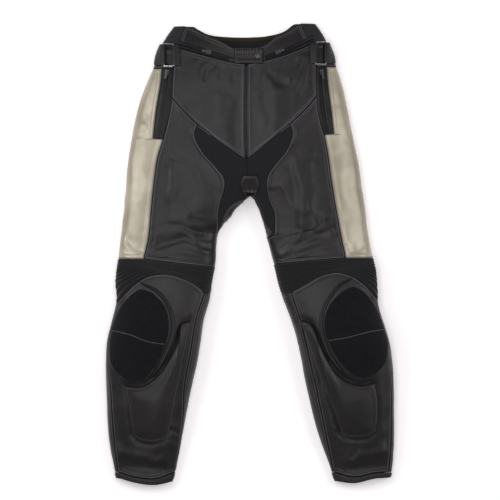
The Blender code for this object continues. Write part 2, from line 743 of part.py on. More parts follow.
def knee_corner(side, count):
    """Seam round the outer fold, from behind the knee to in front of the fold, as (turn, y)."""
    ends = np.array([(outer_back(side, KNEE_BACK_Y), KNEE_BACK_Y), SEAMS[side]["knit_bottom"][0]])
    return np.linspace(*unrolled(side, ends), count + 1)


def knee_knit(side):
    """Ribbed stretch panel above the knee, round both folds of the leg. The ribs are on top only."""
    head = knit_head(side)
    head_back = np.array([outer_back(side, head[0, 1]), head[0, 1]])
    foot = seam(side, "knit_bottom", SHIN_COLUMNS)
    foot_inner = np.array([inner_back(side, foot[-1, 1]), foot[-1, 1]])
    top = joined(route((head_back, head[0]), 5), head)
    bottom = joined(foot, route((foot[-1], foot_inner), 2))
    left = line(outer_back, side, head_back[1], KNEE_BACK_Y, RIBS)
    right = line(inner_back, side, head[-1, 1], foot_inner[1], 2 * RIBS)
    borders = box_of(side, top, bottom, left, right)
    borders[2] = joined(borders[2], knee_corner(side, RIBS))
    turn = blended(*borders)[..., 0]
    on_top = np.clip(5 * np.sin(np.clip(turn, 0, 1) * math.pi), 0, 1)
    rise = np.where(np.arange(2 * RIBS + 1) % 2, RIB_HEIGHT, 0.0)[:, None] * on_top
    panel(f"knee_knit_{side}", side, "stretch cloth", borders, high=rise, gap=2 * SEAM)


def shin_front(side):
    borders = (
        seam(side, "knit_bottom", SHIN_COLUMNS), seam(side, "hem_top", SHIN_COLUMNS),
        seam(side, "outer_strip", LEG_ROWS), seam(side, "inner_strip", LEG_ROWS),
    )
    panel(f"shin_front_{side}", side, "black leather", box_of(side, *borders), gap=SEAM)


def inner_strip(side):
    """Strip that wraps the inner fold of the lower leg, between shin and calf."""
    front = seam(side, "inner_strip", LEG_ROWS)
    back = line(inner_back, side, front[0, 1], HEM_Y, LEG_ROWS)
    top, bottom = route((front[0], back[0]), 3), route((front[-1], back[-1]), 3)
    panel(f"inner_strip_{side}", side, "black leather", box_of(side, top, bottom, front, back), gap=SEAM)


def hem_band(side):
    """Binding round the leg's end: a ring whose edges follow the front's hem line."""
    turns = np.linspace(0, 2, 25)[:-1]
    rows = []
    for name in ("hem_top", "hem_bottom"):
        found = unrolled(side, seam(side, name, 8))
        rows.append(np.interp(turns, found[:, 0], found[:, 1], period=2))
    rows[0] -= 2 * SEAM
    y = np.linspace(rows[0], rows[1], 3)
    grid = np.stack([np.broadcast_to(turns, y.shape), y], axis=-1)
    rise = np.array([0.5, HEM_RISE, 0.5])[:, None]
    outer, inner = lifted(side, grid, rise), lifted(side, grid, -LEATHER)
    outer[..., 2] = np.maximum(outer[..., 2], 0)
    place(f"hem_band_{side}", wall_mesh(f"hem_band_{side}", outer, inner, loop=True), "strap leather")


def overlay(name, side, material, borders, high):
    """A piece sewn on top of a panel, made from the panel's own skin moved out."""
    low = np.linspace(BENT_SEAT, SEAT, len(borders[0]))[None, :]
    return panel(name, side, material, box_of(side, *borders), low=low, high=high)


def knee_patch(side):
    """Hook-and-loop oval on the knee, in two halves that meet at a cross seam."""
    cross = seam(side, "knee_cross", 8)
    upper = (seam(side, "knee_top", 8), cross, seam(side, "knee_outer", 6), seam(side, "knee_inner", 6))
    lower = (
        cross, seam(side, "knee_bottom", 8), seam(side, "knee_outer_low", 6), seam(side, "knee_inner_low", 6)
    )
    overlay(f"knee_patch_upper_{side}", side, "hook and loop", upper, high=PATCH_RISE)
    overlay(f"knee_patch_lower_{side}", side, "hook and loop", lower, high=PATCH_RISE)


def knee_welt(side):
    """Padded welt round the inner side of the knee patch."""
    outer = seam(side, "welt", 16)
    middle = np.mean(SEAMS[side]["knee_cross"], axis=0)
    towards = middle - outer
    inner = outer + towards / np.linalg.norm(towards, axis=1, keepdims=True) * WELT_WIDTH
    top, bottom = route((inner[0], outer[0]), 3), route((inner[-1], outer[-1]), 3)
    rise = np.array([2.4, WELT_RISE, WELT_RISE, 1.4])[None, :]
    overlay(f"knee_welt_{side}", side, "black leather", (top, bottom, inner, outer), high=rise)


def shin_guard(side):
    """Padded panel over the shin, domed towards its middle."""
    top, bottom = seam(side, "shin_top", 7), seam(side, "shin_bottom", 7)
    left, right = seam(side, "shin_outer", 11), seam(side, "shin_inner", 11)
    down = np.sin(np.linspace(0, math.pi, 12)) ** 0.6
    over = np.sin(np.linspace(0, math.pi, 8)) ** 0.6
    rise = LEATHER + SEAT + GUARD_RISE * down[:, None] * over[None, :]
    overlay(f"shin_guard_{side}", side, "black leather", (top, bottom, left, right), high=rise)


# Back

def under_line(side, name, count):
    """A seam of the back, seen through the front, as (turn, y) on the underside."""
    return unrolled(side, seam(side, name, count), under=True)


def waist_back():
    """Back of the waistband, the facing on its inside and the binding along the top."""
    grids = {}
    for side in SIDES:
        top, bottom = under_line(side, "back_top", 8)[::-1], under_line(side, "back_bottom", 8)[::-1]
        top[0, 0] = bottom[0, 0] = 1 + HAIR
        y = seam(side, "elastic_front", 3)[:, 1] - BACK_DROP
        x = outer_back(side, y) + side_sign(side) * SEAM
        outer = unrolled(side, np.stack([x, y], axis=-1), under=True)
        inner = np.stack([np.full(4, 1 + HAIR), np.linspace(top[0, 1], bottom[0, 1], 4)], axis=-1)
        top[-1], bottom[-1] = outer[0], outer[-1]
        bottom[:, 1] += SEAM
        outer[-1, 1] += SEAM
        inner[-1, 1] += SEAM
        grids[side] = blended(top, bottom, inner, outer)
    inside = -LEATHER - SEAM
    spanning("waistband_back", "black leather", grids, -LEATHER, 0.0)
    shorter = {side: grid[:, :-1] for side, grid in grids.items()}
    spanning("back_facing", "lining cloth", shorter, inside - FACING, inside)
    edge = {}
    for side, grid in shorter.items():
        share = np.array([0.0, BINDING_SHARE])[:, None, None]
        edge[side] = grid[:1] * (1 - share) + grid[1:2] * share
    on_facing = inside - FACING - SEAM
    spanning("back_binding", "olive binding", edge, on_facing - FACING, on_facing)


def seat(side):
    """Back of the hip and thigh in one piece, round the inner fold to the crotch gusset."""
    head = under_line(side, "back_bottom", 6)[::-1]
    head[0, 0] = 1 + CENTRE_GAP
    patch_head = SEAMS[side]["patch_side"][0]
    spine = np.stack([np.full(5, 1 + CENTRE_GAP), np.linspace(head[0, 1], patch_head[1], 5)], axis=-1)
    round_patch = unrolled(side, seam(side, "patch_side", 4), under=True)
    round_patch[-1] = (1, round_patch[-1, 1])
    flap = unrolled(side, seam(side, "flap", 3))
    knee_y = SEAMS[side]["knit_top"][-1][1]
    inseam = unrolled(side, joined(
        line(inner_back, side, flap[-1, 1], knee_y, 4), line(inner_back, side, knee_y, KNEE_BACK_Y, 1)
    ))
    inner = np.concatenate([spine, round_patch, flap[1:], inseam[1:]])
    y = np.linspace(head[-1, 1], KNEE_BACK_Y, len(inner))
    outer = unrolled(side, np.stack([outer_back(side, y), y], axis=-1), under=True)
    head[-1] = outer[0]
    foot_turn = np.linspace(inner[-1, 0], outer[-1, 0], 7)
    foot = np.stack([foot_turn, np.full(7, KNEE_BACK_Y)], axis=-1)
    panel(f"seat_{side}", side, "black leather", (head, foot, inner, outer), gap=SEAM)


def calf_back(side):
    """Back of the lower leg, round the outer fold to a seam just in front of it."""
    end_y = SEAMS[side]["knit_bottom"][-1][1]
    outer = joined(knee_corner(side, RIBS), unrolled(side, seam(side, "outer_strip", LEG_ROWS)))
    outer[:, 0] += 2
    inner = unrolled(side, joined(
        line(inner_back, side, KNEE_BACK_Y, end_y, RIBS), line(inner_back, side, end_y, HEM_Y, LEG_ROWS)
    ))
    head, foot = np.linspace(inner[0], outer[0], 7), np.linspace(inner[-1], outer[-1], 7)
    panel(f"calf_back_{side}", side, "black leather", (head, foot, inner, outer), gap=SEAM)


# Hardware

def along_fold(side, start, y, away):
    """Turn at a distance from a place, measured on the skin towards the outer fold."""
    turns = np.linspace(-0.9, 0.9, 181)
    points = surface(side, turns, np.full(181, float(y)))
    gone = np.concatenate([[0], np.cumsum(np.linalg.norm(np.diff(points, axis=0), axis=1))])
    here = np.interp(turn_at(side, start, np.array(float(y))), turns, gone)
    return np.interp(here - np.asarray(away, float), gone, turns)


def strap(name, side, start, y_range, path, material):
    """Webbing carried along a path of (distance on the skin, height over it), WEB thick."""
    path = np.array(path, float)
    ahead = np.gradient(path, axis=0)
    ahead /= np.linalg.norm(ahead, axis=1, keepdims=True)
    square = np.stack([-ahead[:, 1], ahead[:, 0]], axis=-1) * WEB / 2
    ys = np.linspace(*y_range, 6)
    faces = []
    for offset in (square, -square):
        away, lift = (path + offset).T
        grid = np.stack([np.stack([along_fold(side, start, y, away), np.full(len(path), y)], -1) for y in ys])
        faces.append(lifted(side, grid, lift))
    place(name, wall_mesh(name, *faces), material)


def arc(middle, radius, first, last, count):
    """Points of an arc in the plane, its angles in degrees."""
    angles = np.radians(np.linspace(first, last, count))
    return [(middle[0] + radius * math.cos(a), middle[1] + radius * math.sin(a)) for a in angles]


def adjuster(side):
    """Waist adjuster: a strap from the back is looped round a wire ring that lies on a web tab."""
    start, top, bottom = ADJUSTER[side]
    inset = RING_WIRE + 2 * SEAM
    y_range = (top - inset, bottom + inset)
    under = SEAM + WEB / 2
    over = under + TAIL_LIFT + WEB + SEAM
    loop = RING_WIRE + 2.5 * SEAM + WEB / 2
    height = under + loop
    tail = [(away, under + TAIL_LIFT) for away in range(22, 0, -3)]
    fold = arc((0, height), loop, 270, 90, 7)
    lap = [(5, height + loop - 0.4), (10, over + 1.2), (13, over + 0.3), (16, over), (19, over), (22, over)]
    strap(f"adjuster_strap_{side}", side, start, y_range, tail + fold + lap, "strap leather")
    tab = [(away, under) for away in (-6, -11, -16, -21, -26)]
    strap(f"adjuster_web_{side}", side, start, y_range, tab, "elastic web")
    ring(side, start, top, bottom, height)


def ring(side, start, top, bottom, height):
    """Wire ring with rounded corners, which follows the skin at a height over it."""
    corner = 3
    near, far = -corner, corner - RING_LENGTH
    ys = np.linspace(top, bottom, 6)[1:-1]
    plan = arc((near, top - corner), corner, 0, 90, 3) + arc((far, top - corner), corner, 90, 180, 3)
    plan += [(-RING_LENGTH, y) for y in ys]
    plan += arc((far, bottom + corner), corner, 180, 270, 3)
    plan += arc((near, bottom + corner), corner, 270, 360, 3)
    plan += [(0, y) for y in ys[::-1]]
    wire = bpy.data.curves.new(f"adjuster_ring_{side}", "CURVE")
    wire.dimensions = "3D"
    wire.bevel_depth = RING_WIRE * MM
    wire.bevel_resolution = 2
    spline = wire.splines.new("POLY")
    spline.points.add(len(plan) - 1)
    for point, (away, y) in zip(spline.points, plan):
        where = np.array([[along_fold(side, start, y, away), y]])
        point.co = (*(lifted(side, where, height)[0] * MM), 1)
    spline.use_cyclic_u = True
    place(f"adjuster_ring_{side}", wire, "chromed steel")


def frame_at(side, x, y, heading, lift):
    """Matrix on the skin: local Y along the heading, local Z out, its origin lifted."""
    where = np.array([[float(turn_at(side, np.array(x), np.array(float(y)))), y]])
    origin = lifted(side, where, lift)[0]
    facing = Vector(outward(side, where[:, 0], where[:, 1])[0])
    heading = Vector((*heading, 0))
    ahead = (heading - facing * heading.dot(facing)).normalized()
    across = ahead.cross(facing)
    made = Matrix((across, ahead, facing)).transposed().to_4x4()
    made.translation = Vector(origin * MM)
    return made


def box_mesh(name, low, high):
    """Box between two corners in millimetres."""
    shape = bmesh.new()
    bmesh.ops.create_cube(shape, size=1)
    low, high = np.array(low, float), np.array(high, float)
    for vertex in shape.verts:
        vertex.co = Vector((low + (np.array(vertex.co) + 0.5) * (high - low)) * MM)
    mesh = bpy.data.meshes.new(name)
    shape.to_mesh(mesh)
    shape.free()
    return mesh


def slider_mesh():
    """Zip slider: a body with an arch over the pull's bar. Its origin is the bar's axis."""
    body = bpy.data.objects.new("slider_form", box_mesh("slider_form", (-4, -5.5, -3.2), (4, 5.5, -1.2)))
    bridge = bpy.data.objects.new("arch_form", box_mesh("arch_form", (-1.2, -2.8, -1.6), (1.2, 2.8, 1.8)))
    tunnel = bpy.data.objects.new("tunnel_form", box_mesh("tunnel_form", (-3, -1.9, -1.2), (3, 1.9, 1.0)))
    for obj in (body, bridge, tunnel):
        bpy.data.collections[TOOLS].objects.link(obj)
        obj.hide_render = True
        obj.display_type = "WIRE"
    for cutter, operation in ((bridge, "UNION"), (tunnel, "DIFFERENCE")):
        modifier = body.modifiers.new(operation, "BOOLEAN")
        modifier.operation = operation
        modifier.object = cutter
    bpy.context.view_layer.update()
    graph = bpy.context.evaluated_depsgraph_get()
    mesh = bpy.data.meshes.new_from_object(body.evaluated_get(graph))
    for obj in (body, bridge, tunnel):
        bpy.data.objects.remove(obj, do_unlink=True)
    mesh.name = "zip_slider"
    return mesh


def pull_mesh():
    """Zip pull: a flat plate with a window at the bar end and a round tail."""
    outline = [(-2.4, -0.5), (2.4, -0.5), (2.4, 4.4), (1.7, 6.0)]
    outline += [(x, y) for x, y in arc((0, PULL_LENGTH - 2.6), 2.6, 0, 180, 7)] + [(-1.7, 6.0), (-2.4, 4.4)]
    window = [(-1.5, 0.5), (-1.5, 3.7), (1.5, 3.7), (1.5, 0.5)]
    flat = bpy.data.curves.new("zip_pull", "CURVE")
    flat.dimensions = "2D"
    flat.fill_mode = "BOTH"
    flat.extrude = PULL_THICK / 2 * MM
    for points in (outline, window):
        spline = flat.splines.new("POLY")
        spline.points.add(len(points) - 1)
        for point, (x, y) in zip(spline.points, points):
            point.co = (x * MM, y * MM, 0, 1)
        spline.use_cyclic_u = True
    holder = bpy.data.objects.new("pull_form", flat)
    bpy.data.collections[TOOLS].objects.link(holder)
    bpy.context.view_layer.update()
    graph = bpy.context.evaluated_depsgraph_get()
    mesh = bpy.data.meshes.new_from_object(holder.evaluated_get(graph))
    bpy.data.objects.remove(holder, do_unlink=True)
    shape = bmesh.new()
    shape.from_mesh(mesh)
    bmesh.ops.remove_doubles(shape, verts=shape.verts, dist=1e-6)
    shape.to_mesh(mesh)
    shape.free()
    mesh.name = "zip_pull"
    return mesh


def zip_hardware():
    """Sliders where the zips stand closed, each with a pull that turns on the slider's bar."""
    slider, pull = slider_mesh(), pull_mesh()
    for name, side, x, y, heading, rise in ZIPS:
        at = frame_at(side, x, y, heading, rise + SEAM + SLIDER_FOOT)
        place(f"{name}_slider_{side}", slider, "dark zinc", at)
        place(f"{name}_pull_{side}", pull, "dark zinc", at)


def waist_snap():
    """Press stud on the tab: a turned cap."""
    at = frame_at("right", *SNAP_PLACE, (0, -1), LEATHER + 3 * SEAM)
    mesh = bpy.data.meshes.new("waist_snap")
    profile = [(0, 2.4), (3.6, 2.4), (5.6, 2.0), (6.8, 1.0), (7.2, 0), (0, 0)]
    mesh.from_pydata([(x * MM, 0, z * MM) for x, z in profile], [(i, i + 1) for i in range(5)], [])
    snap = place("waist_snap", mesh, "dark zinc", at)
    turn = snap.modifiers.new("Turn", "SCREW")
    turn.steps = turn.render_steps = 24
    turn.use_merge_vertices = True
    turn.merge_threshold = 0.00005


def main():
    clear_scene()
    for name in (GARMENT, TOOLS):
        bpy.context.scene.collection.children.link(bpy.data.collections.new(name))
    per_side = (
        waist_front, connection_zip, side_elastic, side_yoke, front_panel, pocket_zip, side_panel,
        thigh_front, gusset, knee_knit, shin_front, inner_strip, hem_band, knee_patch, knee_welt,
        shin_guard, seat, calf_back, adjuster,
    )
    for side in SIDES:
        for piece in per_side:
            piece(side)
    for piece in (crotch_patch, fly_zip, waist_tab, waist_back, zip_hardware, waist_snap):
        piece()


main()
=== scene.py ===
# %% [markdown]
# Leather motorcycle pants, laid flat.
#
# A real pair is about forty cut pieces of leather and stretch cloth. A maker sews them edge to edge,
# and then adds zips, straps and pads. This lesson builds them the same way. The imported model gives
# the place of every piece, and each cut piece is dressed here as its own thin wall of leather or
# cloth, with the creases, ribs, piping, stitches and zip teeth that the plain solids leave out.

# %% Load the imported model
import math

import bpy
import numpy as np
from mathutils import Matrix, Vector


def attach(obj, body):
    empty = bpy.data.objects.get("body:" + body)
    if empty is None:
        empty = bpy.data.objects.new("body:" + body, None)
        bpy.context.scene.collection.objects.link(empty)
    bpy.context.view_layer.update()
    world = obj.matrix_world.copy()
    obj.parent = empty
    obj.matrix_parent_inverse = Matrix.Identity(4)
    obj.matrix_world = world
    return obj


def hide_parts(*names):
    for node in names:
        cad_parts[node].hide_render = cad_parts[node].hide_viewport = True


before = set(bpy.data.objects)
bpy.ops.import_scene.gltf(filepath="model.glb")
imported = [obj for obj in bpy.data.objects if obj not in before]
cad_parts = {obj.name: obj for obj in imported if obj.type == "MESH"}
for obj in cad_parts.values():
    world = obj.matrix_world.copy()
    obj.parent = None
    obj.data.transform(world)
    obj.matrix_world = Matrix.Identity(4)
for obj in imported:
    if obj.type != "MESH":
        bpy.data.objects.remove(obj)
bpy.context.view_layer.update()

# %% [markdown]
# Sizes are in millimetres, as a pattern cutter writes them, and become metres when a mesh is made.
# X runs across the garment, Y up it towards the waist, Z up from the surface that it lies on.

# %% Sizes
MM = 0.001
BODY = "pants"
SIDES = ("left", "right")
SHIFT = (-0.4, 2.5, 0.0)  # from the tables' origin to the middle of the garment's box
LEATHER = 1.8  # leather with its backing
SEAT = 0.6  # gap under a piece that lies on a panel
CROTCH_Y = 131.0  # where the two legs part
VALLEY_Y = 232.0  # above this the front is one smooth dome
DOME = 2.6  # power of the dome's superellipse
FLAT_SHARE = 0.78  # share of the half width that lies flat underneath
KNEE_BACK_Y = -60.0  # seam behind the knee
HEM_Y = -471.0
BACK_DROP = 2.0
OUTER_WRAP = (31, 0.028)  # how far behind the fold the outer back seam lies at y = 0, and its growth with y
INNER_WRAP = ((-150, 60), (16, 4))  # y, and how far behind the inner fold its seam lies there
HAIR = 1e-6  # a turn so close to the centre line that it is on it
RIBS = 11
EASE = 26.0  # the gusset's point, below its foot
HALF_SEAM = 0.04  # half the gap down the middle seams, sewn shut against the light
GROOVE = 3.4  # depth of the groove round the shin guard
FOLD_DEPTH = 0.72  # how much of the creases' drawn depth is left once the leather has relaxed
ROLL = 2.2  # how wide the edge of a sewn panel turns down into its seam
STITCH = 3.4  # one stitch and its gap
GAP = 0.3  # between two pieces that touch on the real pair
LEAST_HEIGHT = 0.3  # of inner faces, above the surface that the garment lies on
FLY_SLIT = 1.3  # half the slit between the fronts, where the fly zip shows

# %% [markdown]
# Two tables hold the form. Each row of the first is a ring round one half of the garment, where a
# tailor's tape would go: the outer fold, the inner fold (or the centre line, above the crotch), and
# the heights of the top and of the folds. The second holds the largest swells and hollows.

# %% The rings and the large folds
# y, outer fold x, inner fold x (centre line above the crotch), height of the top, height of the fold
SECTIONS = {
    "left": (
        (492, -160, -6, 15, 7),
        (471, -175, -6, 31, 10),
        (441, -193, -7, 43, 13),
        (404, -206, -8, 52, 16),
        (370, -220, -8, 58, 18),
        (331, -235, -9, 62, 20),
        (260, -252, -9, 66, 22),
        (190, -263, -7, 65, 22),
        (131, -268, 0, 61, 21),
        (114, -270, -9, 60, 21),
        (92, -271, -30, 59, 21),
        (73, -274, -43, 58, 21),
        (50, -276, -65, 58, 21),
        (22, -280, -71, 58, 21),
        (-15, -284, -72, 60, 21),
        (-60, -289, -81, 64, 21),
        (-100, -287, -86, 68, 21),
        (-144, -297, -99, 71, 21),
        (-187, -307, -105, 72, 21),
        (-230, -310, -112, 69, 20),
        (-316, -308, -131, 58, 18),
        (-402, -303, -147, 42, 15),
        (-471, -290, -161, 29, 11),
        (-503, -283, -171, 25, 10),
    ),
    "right": (
        (504, 132, -6, 15, 7),
        (471, 156, -6, 31, 10),
        (441, 171, -7, 43, 13),
        (404, 185, -8, 52, 16),
        (370, 196, -8, 58, 18),
        (331, 205, -9, 62, 20),
        (260, 219, -9, 66, 22),
        (190, 234, -7, 65, 22),
        (131, 242, 0, 61, 21),
        (116, 245, 8, 60, 21),
        (90, 249, 20, 59, 21),
        (55, 253, 30, 58, 21),
        (4, 262, 43, 59, 21),
        (-37, 271, 54, 62, 21),
        (-80, 274, 64, 66, 21),
        (-110, 276, 74, 69, 21),
        (-144, 286, 88, 71, 21),
        (-187, 299, 101, 72, 21),
        (-230, 306, 110, 69, 20),
        (-273, 309, 118, 63, 19),
        (-359, 310, 138, 50, 16),
        (-402, 310, 151, 42, 15),
        (-467, 305, 174, 29, 11),
        (-503, 297, 187, 25, 10),
    ),
}

# Largest folds and bulges of the top: from x, y to x, y, half width, height (below 0 is a trough)
FOLDS = {
    "left": (
        (-243, -205, -240, -160, 62, 9),
        (-215, -330, -205, -395, 34, 3),
        (-246, 318, -222, 300, 11, -4),
        (-150, 300, -95, 225, 17, 3),
        (-205, 60, -110, 95, 16, 3),
        (-190, 20, -95, 45, 13, -3),
        (-262, 30, -225, 5, 14, -3),
        (-120, 30, -90, -10, 12, 3),
        (-300, -300, -283, -400, 13, -3),
        (-285, -430, -200, -446, 11, 2.5),
        (-270, -455, -190, -462, 9, -2.5),
        (-72, 330, -62, 240, 22, 3),
    ),
    "right": (
        (238, -205, 235, -160, 62, 9),
        (228, -325, 240, -385, 34, 3),
        (215, 300, 232, 262, 11, -3),
        (132, 300, 75, 232, 17, 3),
        (190, 75, 95, 100, 16, 3),
        (180, 30, 85, 52, 13, -3),
        (255, 45, 222, 12, 14, -3),
        (100, 40, 70, -5, 12, 3),
        (300, -290, 292, -395, 13, -3),
        (290, -428, 212, -446, 11, 2.5),
        (285, -455, 215, -464, 9, -2.5),
        (55, 340, 48, 250, 22, 3),
    ),
}

# %% [markdown]
# The pattern. A seam is a short list of points as seen from above. An x past a fold goes on round
# the fold, on the underside. Two panels that share a seam read the same list, so they always meet.

# %% The seams
# Seams as (x, y) points, from top to bottom or from the outer side to the inner side
SEAMS = {
    "left": {
        "waist_top": ((-140, 488), (-90, 466), (-60, 454), (-34, 440), (-7, 438)),
        "elastic_front": ((-140, 488), (-148, 465), (-155, 441)),
        "waist_bottom": ((-155, 441), (-100, 426), (-45, 412), (-8, 406)),
        "yoke_front": ((-155, 441), (-161, 418), (-165, 396)),
        "pocket_front": ((-165, 396), (-167, 365), (-168, 335)),
        "pocket_front_low": ((-168, 335), (-172, 305), (-179, 275), (-187, 244)),
        "yoke_bottom": ((-189, 397), (-165, 396)),
        "pocket_back": (
            (-189, 397), (-192, 366), (-197, 335), (-202, 305), (-205, 275), (-208, 246),
        ),
        "back_top": ((-119, 484), (-88, 469), (-47, 464), (-7, 463)),
        "back_bottom": ((-149, 437), (-80, 420), (-8, 412)),
        "pocket_foot": ((-208, 246), (-187, 244)),
        "gold_front": (
            (-187, 244), (-199, 204), (-205, 165), (-209, 129), (-214, 80), (-219, 30), (-229, -13),
        ),
        "vee_outer": ((-168, 335), (-141, 304), (-112, 276)),
        "vee_inner": ((-112, 276), (-59, 235), (-9, 201)),
        "gusset_outer": (
            (-112, 276), (-119, 256), (-102, 218), (-72, 184), (-55, 160), (-54, 140),
            (-61, 116), (-67, 88), (-68, 52),
        ),
        "patch_side": ((-15, 168), (-22, 145), (-9, 116)),
        "flap": ((-9, 116), (-28, 110), (-45, 99), (-57, 79), (-65, 52)),
        "knit_top": ((-229, -13), (-160, -22), (-79, -32)),
        "knit_bottom": (
            (-286, -108), (-270, -90), (-248, -68), (-218, -50), (-181, -45), (-142, -55),
            (-114, -70), (-97, -84),
        ),
        "inner_strip": (
            (-97, -84), (-114, -135), (-123, -183), (-131, -230), (-141, -288), (-144, -355),
            (-152, -418), (-161, -471),
        ),
        "outer_strip": (
            (-286, -108), (-297, -155), (-307, -200), (-308, -236), (-300, -288), (-296, -353),
            (-291, -412), (-284, -471),
        ),
        "hem_top": ((-284, -471), (-252, -481), (-205, -486), (-161, -471)),
        "hem_bottom": ((-284, -483), (-252, -493), (-205, -499), (-163, -490)),
        "shin_outer": ((-269, -284), (-261, -326), (-252, -390)),
        "shin_inner": (
            (-128, -144), (-143, -215), (-155, -280), (-166, -338), (-176, -388),
        ),
        "shin_top": (
            (-269, -284), (-232, -285), (-200, -265), (-173, -226), (-154, -185), (-146, -150), (-128, -144),
        ),
        "shin_bottom": ((-252, -390), (-240, -404), (-213, -410), (-189, -404), (-176, -388)),
        "knee_top": ((-258, -92), (-236, -78), (-210, -85)),
        "knee_inner": ((-210, -85), (-185, -112), (-175, -145), (-177, -178), (-182, -198)),
        "knee_inner_low": ((-182, -198), (-194, -226), (-210, -251), (-229, -272)),
        "knee_bottom": ((-281, -262), (-258, -275), (-229, -272)),
        "knee_outer": ((-258, -92), (-278, -118), (-293, -152), (-297, -168)),
        "knee_outer_low": ((-297, -168), (-301, -205), (-297, -240), (-281, -262)),
        "knee_cross": ((-297, -168), (-262, -176), (-220, -192), (-182, -198)),
        "welt": (
            (-236, -62), (-196, -80), (-170, -116), (-161, -154), (-167, -189), (-180, -221),
            (-197, -250), (-213, -269),
        ),
    },
    "right": {
        "waist_top": ((110, 494), (80, 475), (55, 464), (30, 446), (-7, 438)),
        "elastic_front": ((110, 494), (120, 470), (136, 452)),
        "waist_bottom": ((136, 452), (96, 434), (33, 414), (-8, 406)),
        "yoke_front": ((136, 452), (140, 425), (143, 400)),
        "pocket_front": ((143, 400), (143, 368), (144, 339)),
        "pocket_front_low": ((144, 339), (146, 312), (152, 282), (160, 254)),
        "yoke_bottom": ((164, 401), (143, 400)),
        "pocket_back": (
            (164, 401), (167, 368), (170, 339), (174, 312), (177, 282), (180, 256),
        ),
        "back_top": ((92, 490), (73, 476), (36, 466), (-7, 463)),
        "back_bottom": ((121, 448), (66, 424), (-8, 412)),
        "pocket_foot": ((180, 256), (160, 254)),
        "gold_front": (
            (160, 254), (168, 210), (174, 165), (181, 120), (189, 74), (197, 32), (206, -11),
        ),
        "vee_outer": ((144, 339), (116, 306), (86, 278)),
        "vee_inner": ((86, 278), (38, 238), (-7, 201)),
        "gusset_outer": (
            (86, 278), (91, 256), (79, 222), (54, 190), (38, 166), (35, 142),
            (40, 116), (52, 84), (53, 46),
        ),
        "patch_side": ((15, 168), (22, 145), (9, 115)),
        "flap": ((9, 115), (19, 98), (27, 80), (36, 60), (48, 46)),
        "knit_top": ((206, -11), (130, -17), (53, -26)),
        "knit_bottom": (
            (273, -100), (261, -84), (244, -66), (217, -49), (186, -41), (153, -48), (124, -64), (88, -85),
        ),
        "inner_strip": (
            (88, -85), (104, -132), (117, -183), (128, -230), (142, -288), (155, -350),
            (169, -418), (179, -471),
        ),
        "outer_strip": (
            (273, -100), (282, -150), (301, -200), (308, -236), (305, -288), (304, -353),
            (303, -412), (298, -471),
        ),
        "hem_top": ((298, -471), (265, -474), (225, -482), (179, -471)),
        "hem_bottom": ((298, -481), (265, -486), (225, -495), (182, -490)),
        "shin_outer": ((268, -278), (274, -326), (271, -382)),
        "shin_inner": (
            (110, -144), (135, -215), (158, -280), (180, -334), (196, -384),
        ),
        "shin_top": (
            (268, -278), (234, -283), (194, -266), (166, -226), (147, -185), (130, -150), (110, -144),
        ),
        "shin_bottom": ((271, -382), (258, -395), (236, -400), (212, -397), (196, -384)),
        "knee_top": ((246, -84), (223, -73), (198, -83)),
        "knee_inner": ((198, -83), (175, -106), (162, -134), (160, -162), (167, -190)),
        "knee_inner_low": ((167, -190), (180, -214), (197, -239), (220, -262)),
        "knee_bottom": ((270, -260), (246, -269), (220, -262)),
        "knee_outer": ((246, -84), (265, -110), (280, -142), (288, -166)),
        "knee_outer_low": ((288, -166), (295, -198), (290, -236), (270, -260)),
        "knee_cross": ((288, -166), (252, -172), (210, -183), (167, -190)),
        "welt": (
            (219, -54), (192, -65), (172, -88), (155, -118), (149, -148), (153, -180),
            (165, -213), (184, -242), (203, -262),
        ),
    },
}

# %% [markdown]
# The skin is a function of two parameters: the side's turn round its ring, and y down the leg. It
# could be sculpted, but a formula keeps every panel on one surface, as sewn leather is.

# %% The skin as a function
def smooth(at, values, where):
    """Cubic curve through the values, whose slope at each is the mean of the steps beside it."""
    steps = np.diff(values) / np.diff(at)
    slopes = np.concatenate([steps[:1], (steps[1:] + steps[:-1]) / 2, steps[-1:]])
    where = np.clip(where, at[0], at[-1])
    i = np.clip(np.searchsorted(at, where) - 1, 0, len(at) - 2)
    span = at[i + 1] - at[i]
    t = (where - at[i]) / span
    return (
        (1 + 2 * t) * (1 - t) ** 2 * values[i]
        + t * (1 - t) ** 2 * span * slopes[i]
        + t ** 2 * (3 - 2 * t) * values[i + 1]
        + t ** 2 * (t - 1) * span * slopes[i + 1]
    )


def section(side, y):
    """Outer fold, inner fold, top and fold heights at y."""
    table = np.array(SECTIONS[side], float)[::-1]
    found = [smooth(table[:, 0], table[:, column], y) for column in range(1, 5)]
    found[1] = np.where(y >= CROTCH_Y, np.interp(y, table[:, 0], table[:, 2]), found[1])
    return found


def closing(y):
    """0 where the front is one dome to the centre line, 1 where the leg is a closed tube."""
    share = np.clip((VALLEY_Y - y) / (VALLEY_Y - CROTCH_Y), 0, 1)
    return share ** 2


def relief(side, x, y):
    """Height that the largest folds and bulges add at a place seen from above."""
    height = np.zeros(np.broadcast(x, y).shape)
    for x0, y0, x1, y1, width, rise in FOLDS[side]:
        along = np.clip(
            ((x - x0) * (x1 - x0) + (y - y0) * (y1 - y0)) / ((x1 - x0) ** 2 + (y1 - y0) ** 2), 0, 1
        )
        away = np.hypot(x - x0 - along * (x1 - x0), y - y0 - along * (y1 - y0))
        height = height + rise * np.exp(-((away / width) ** 2))
    return height


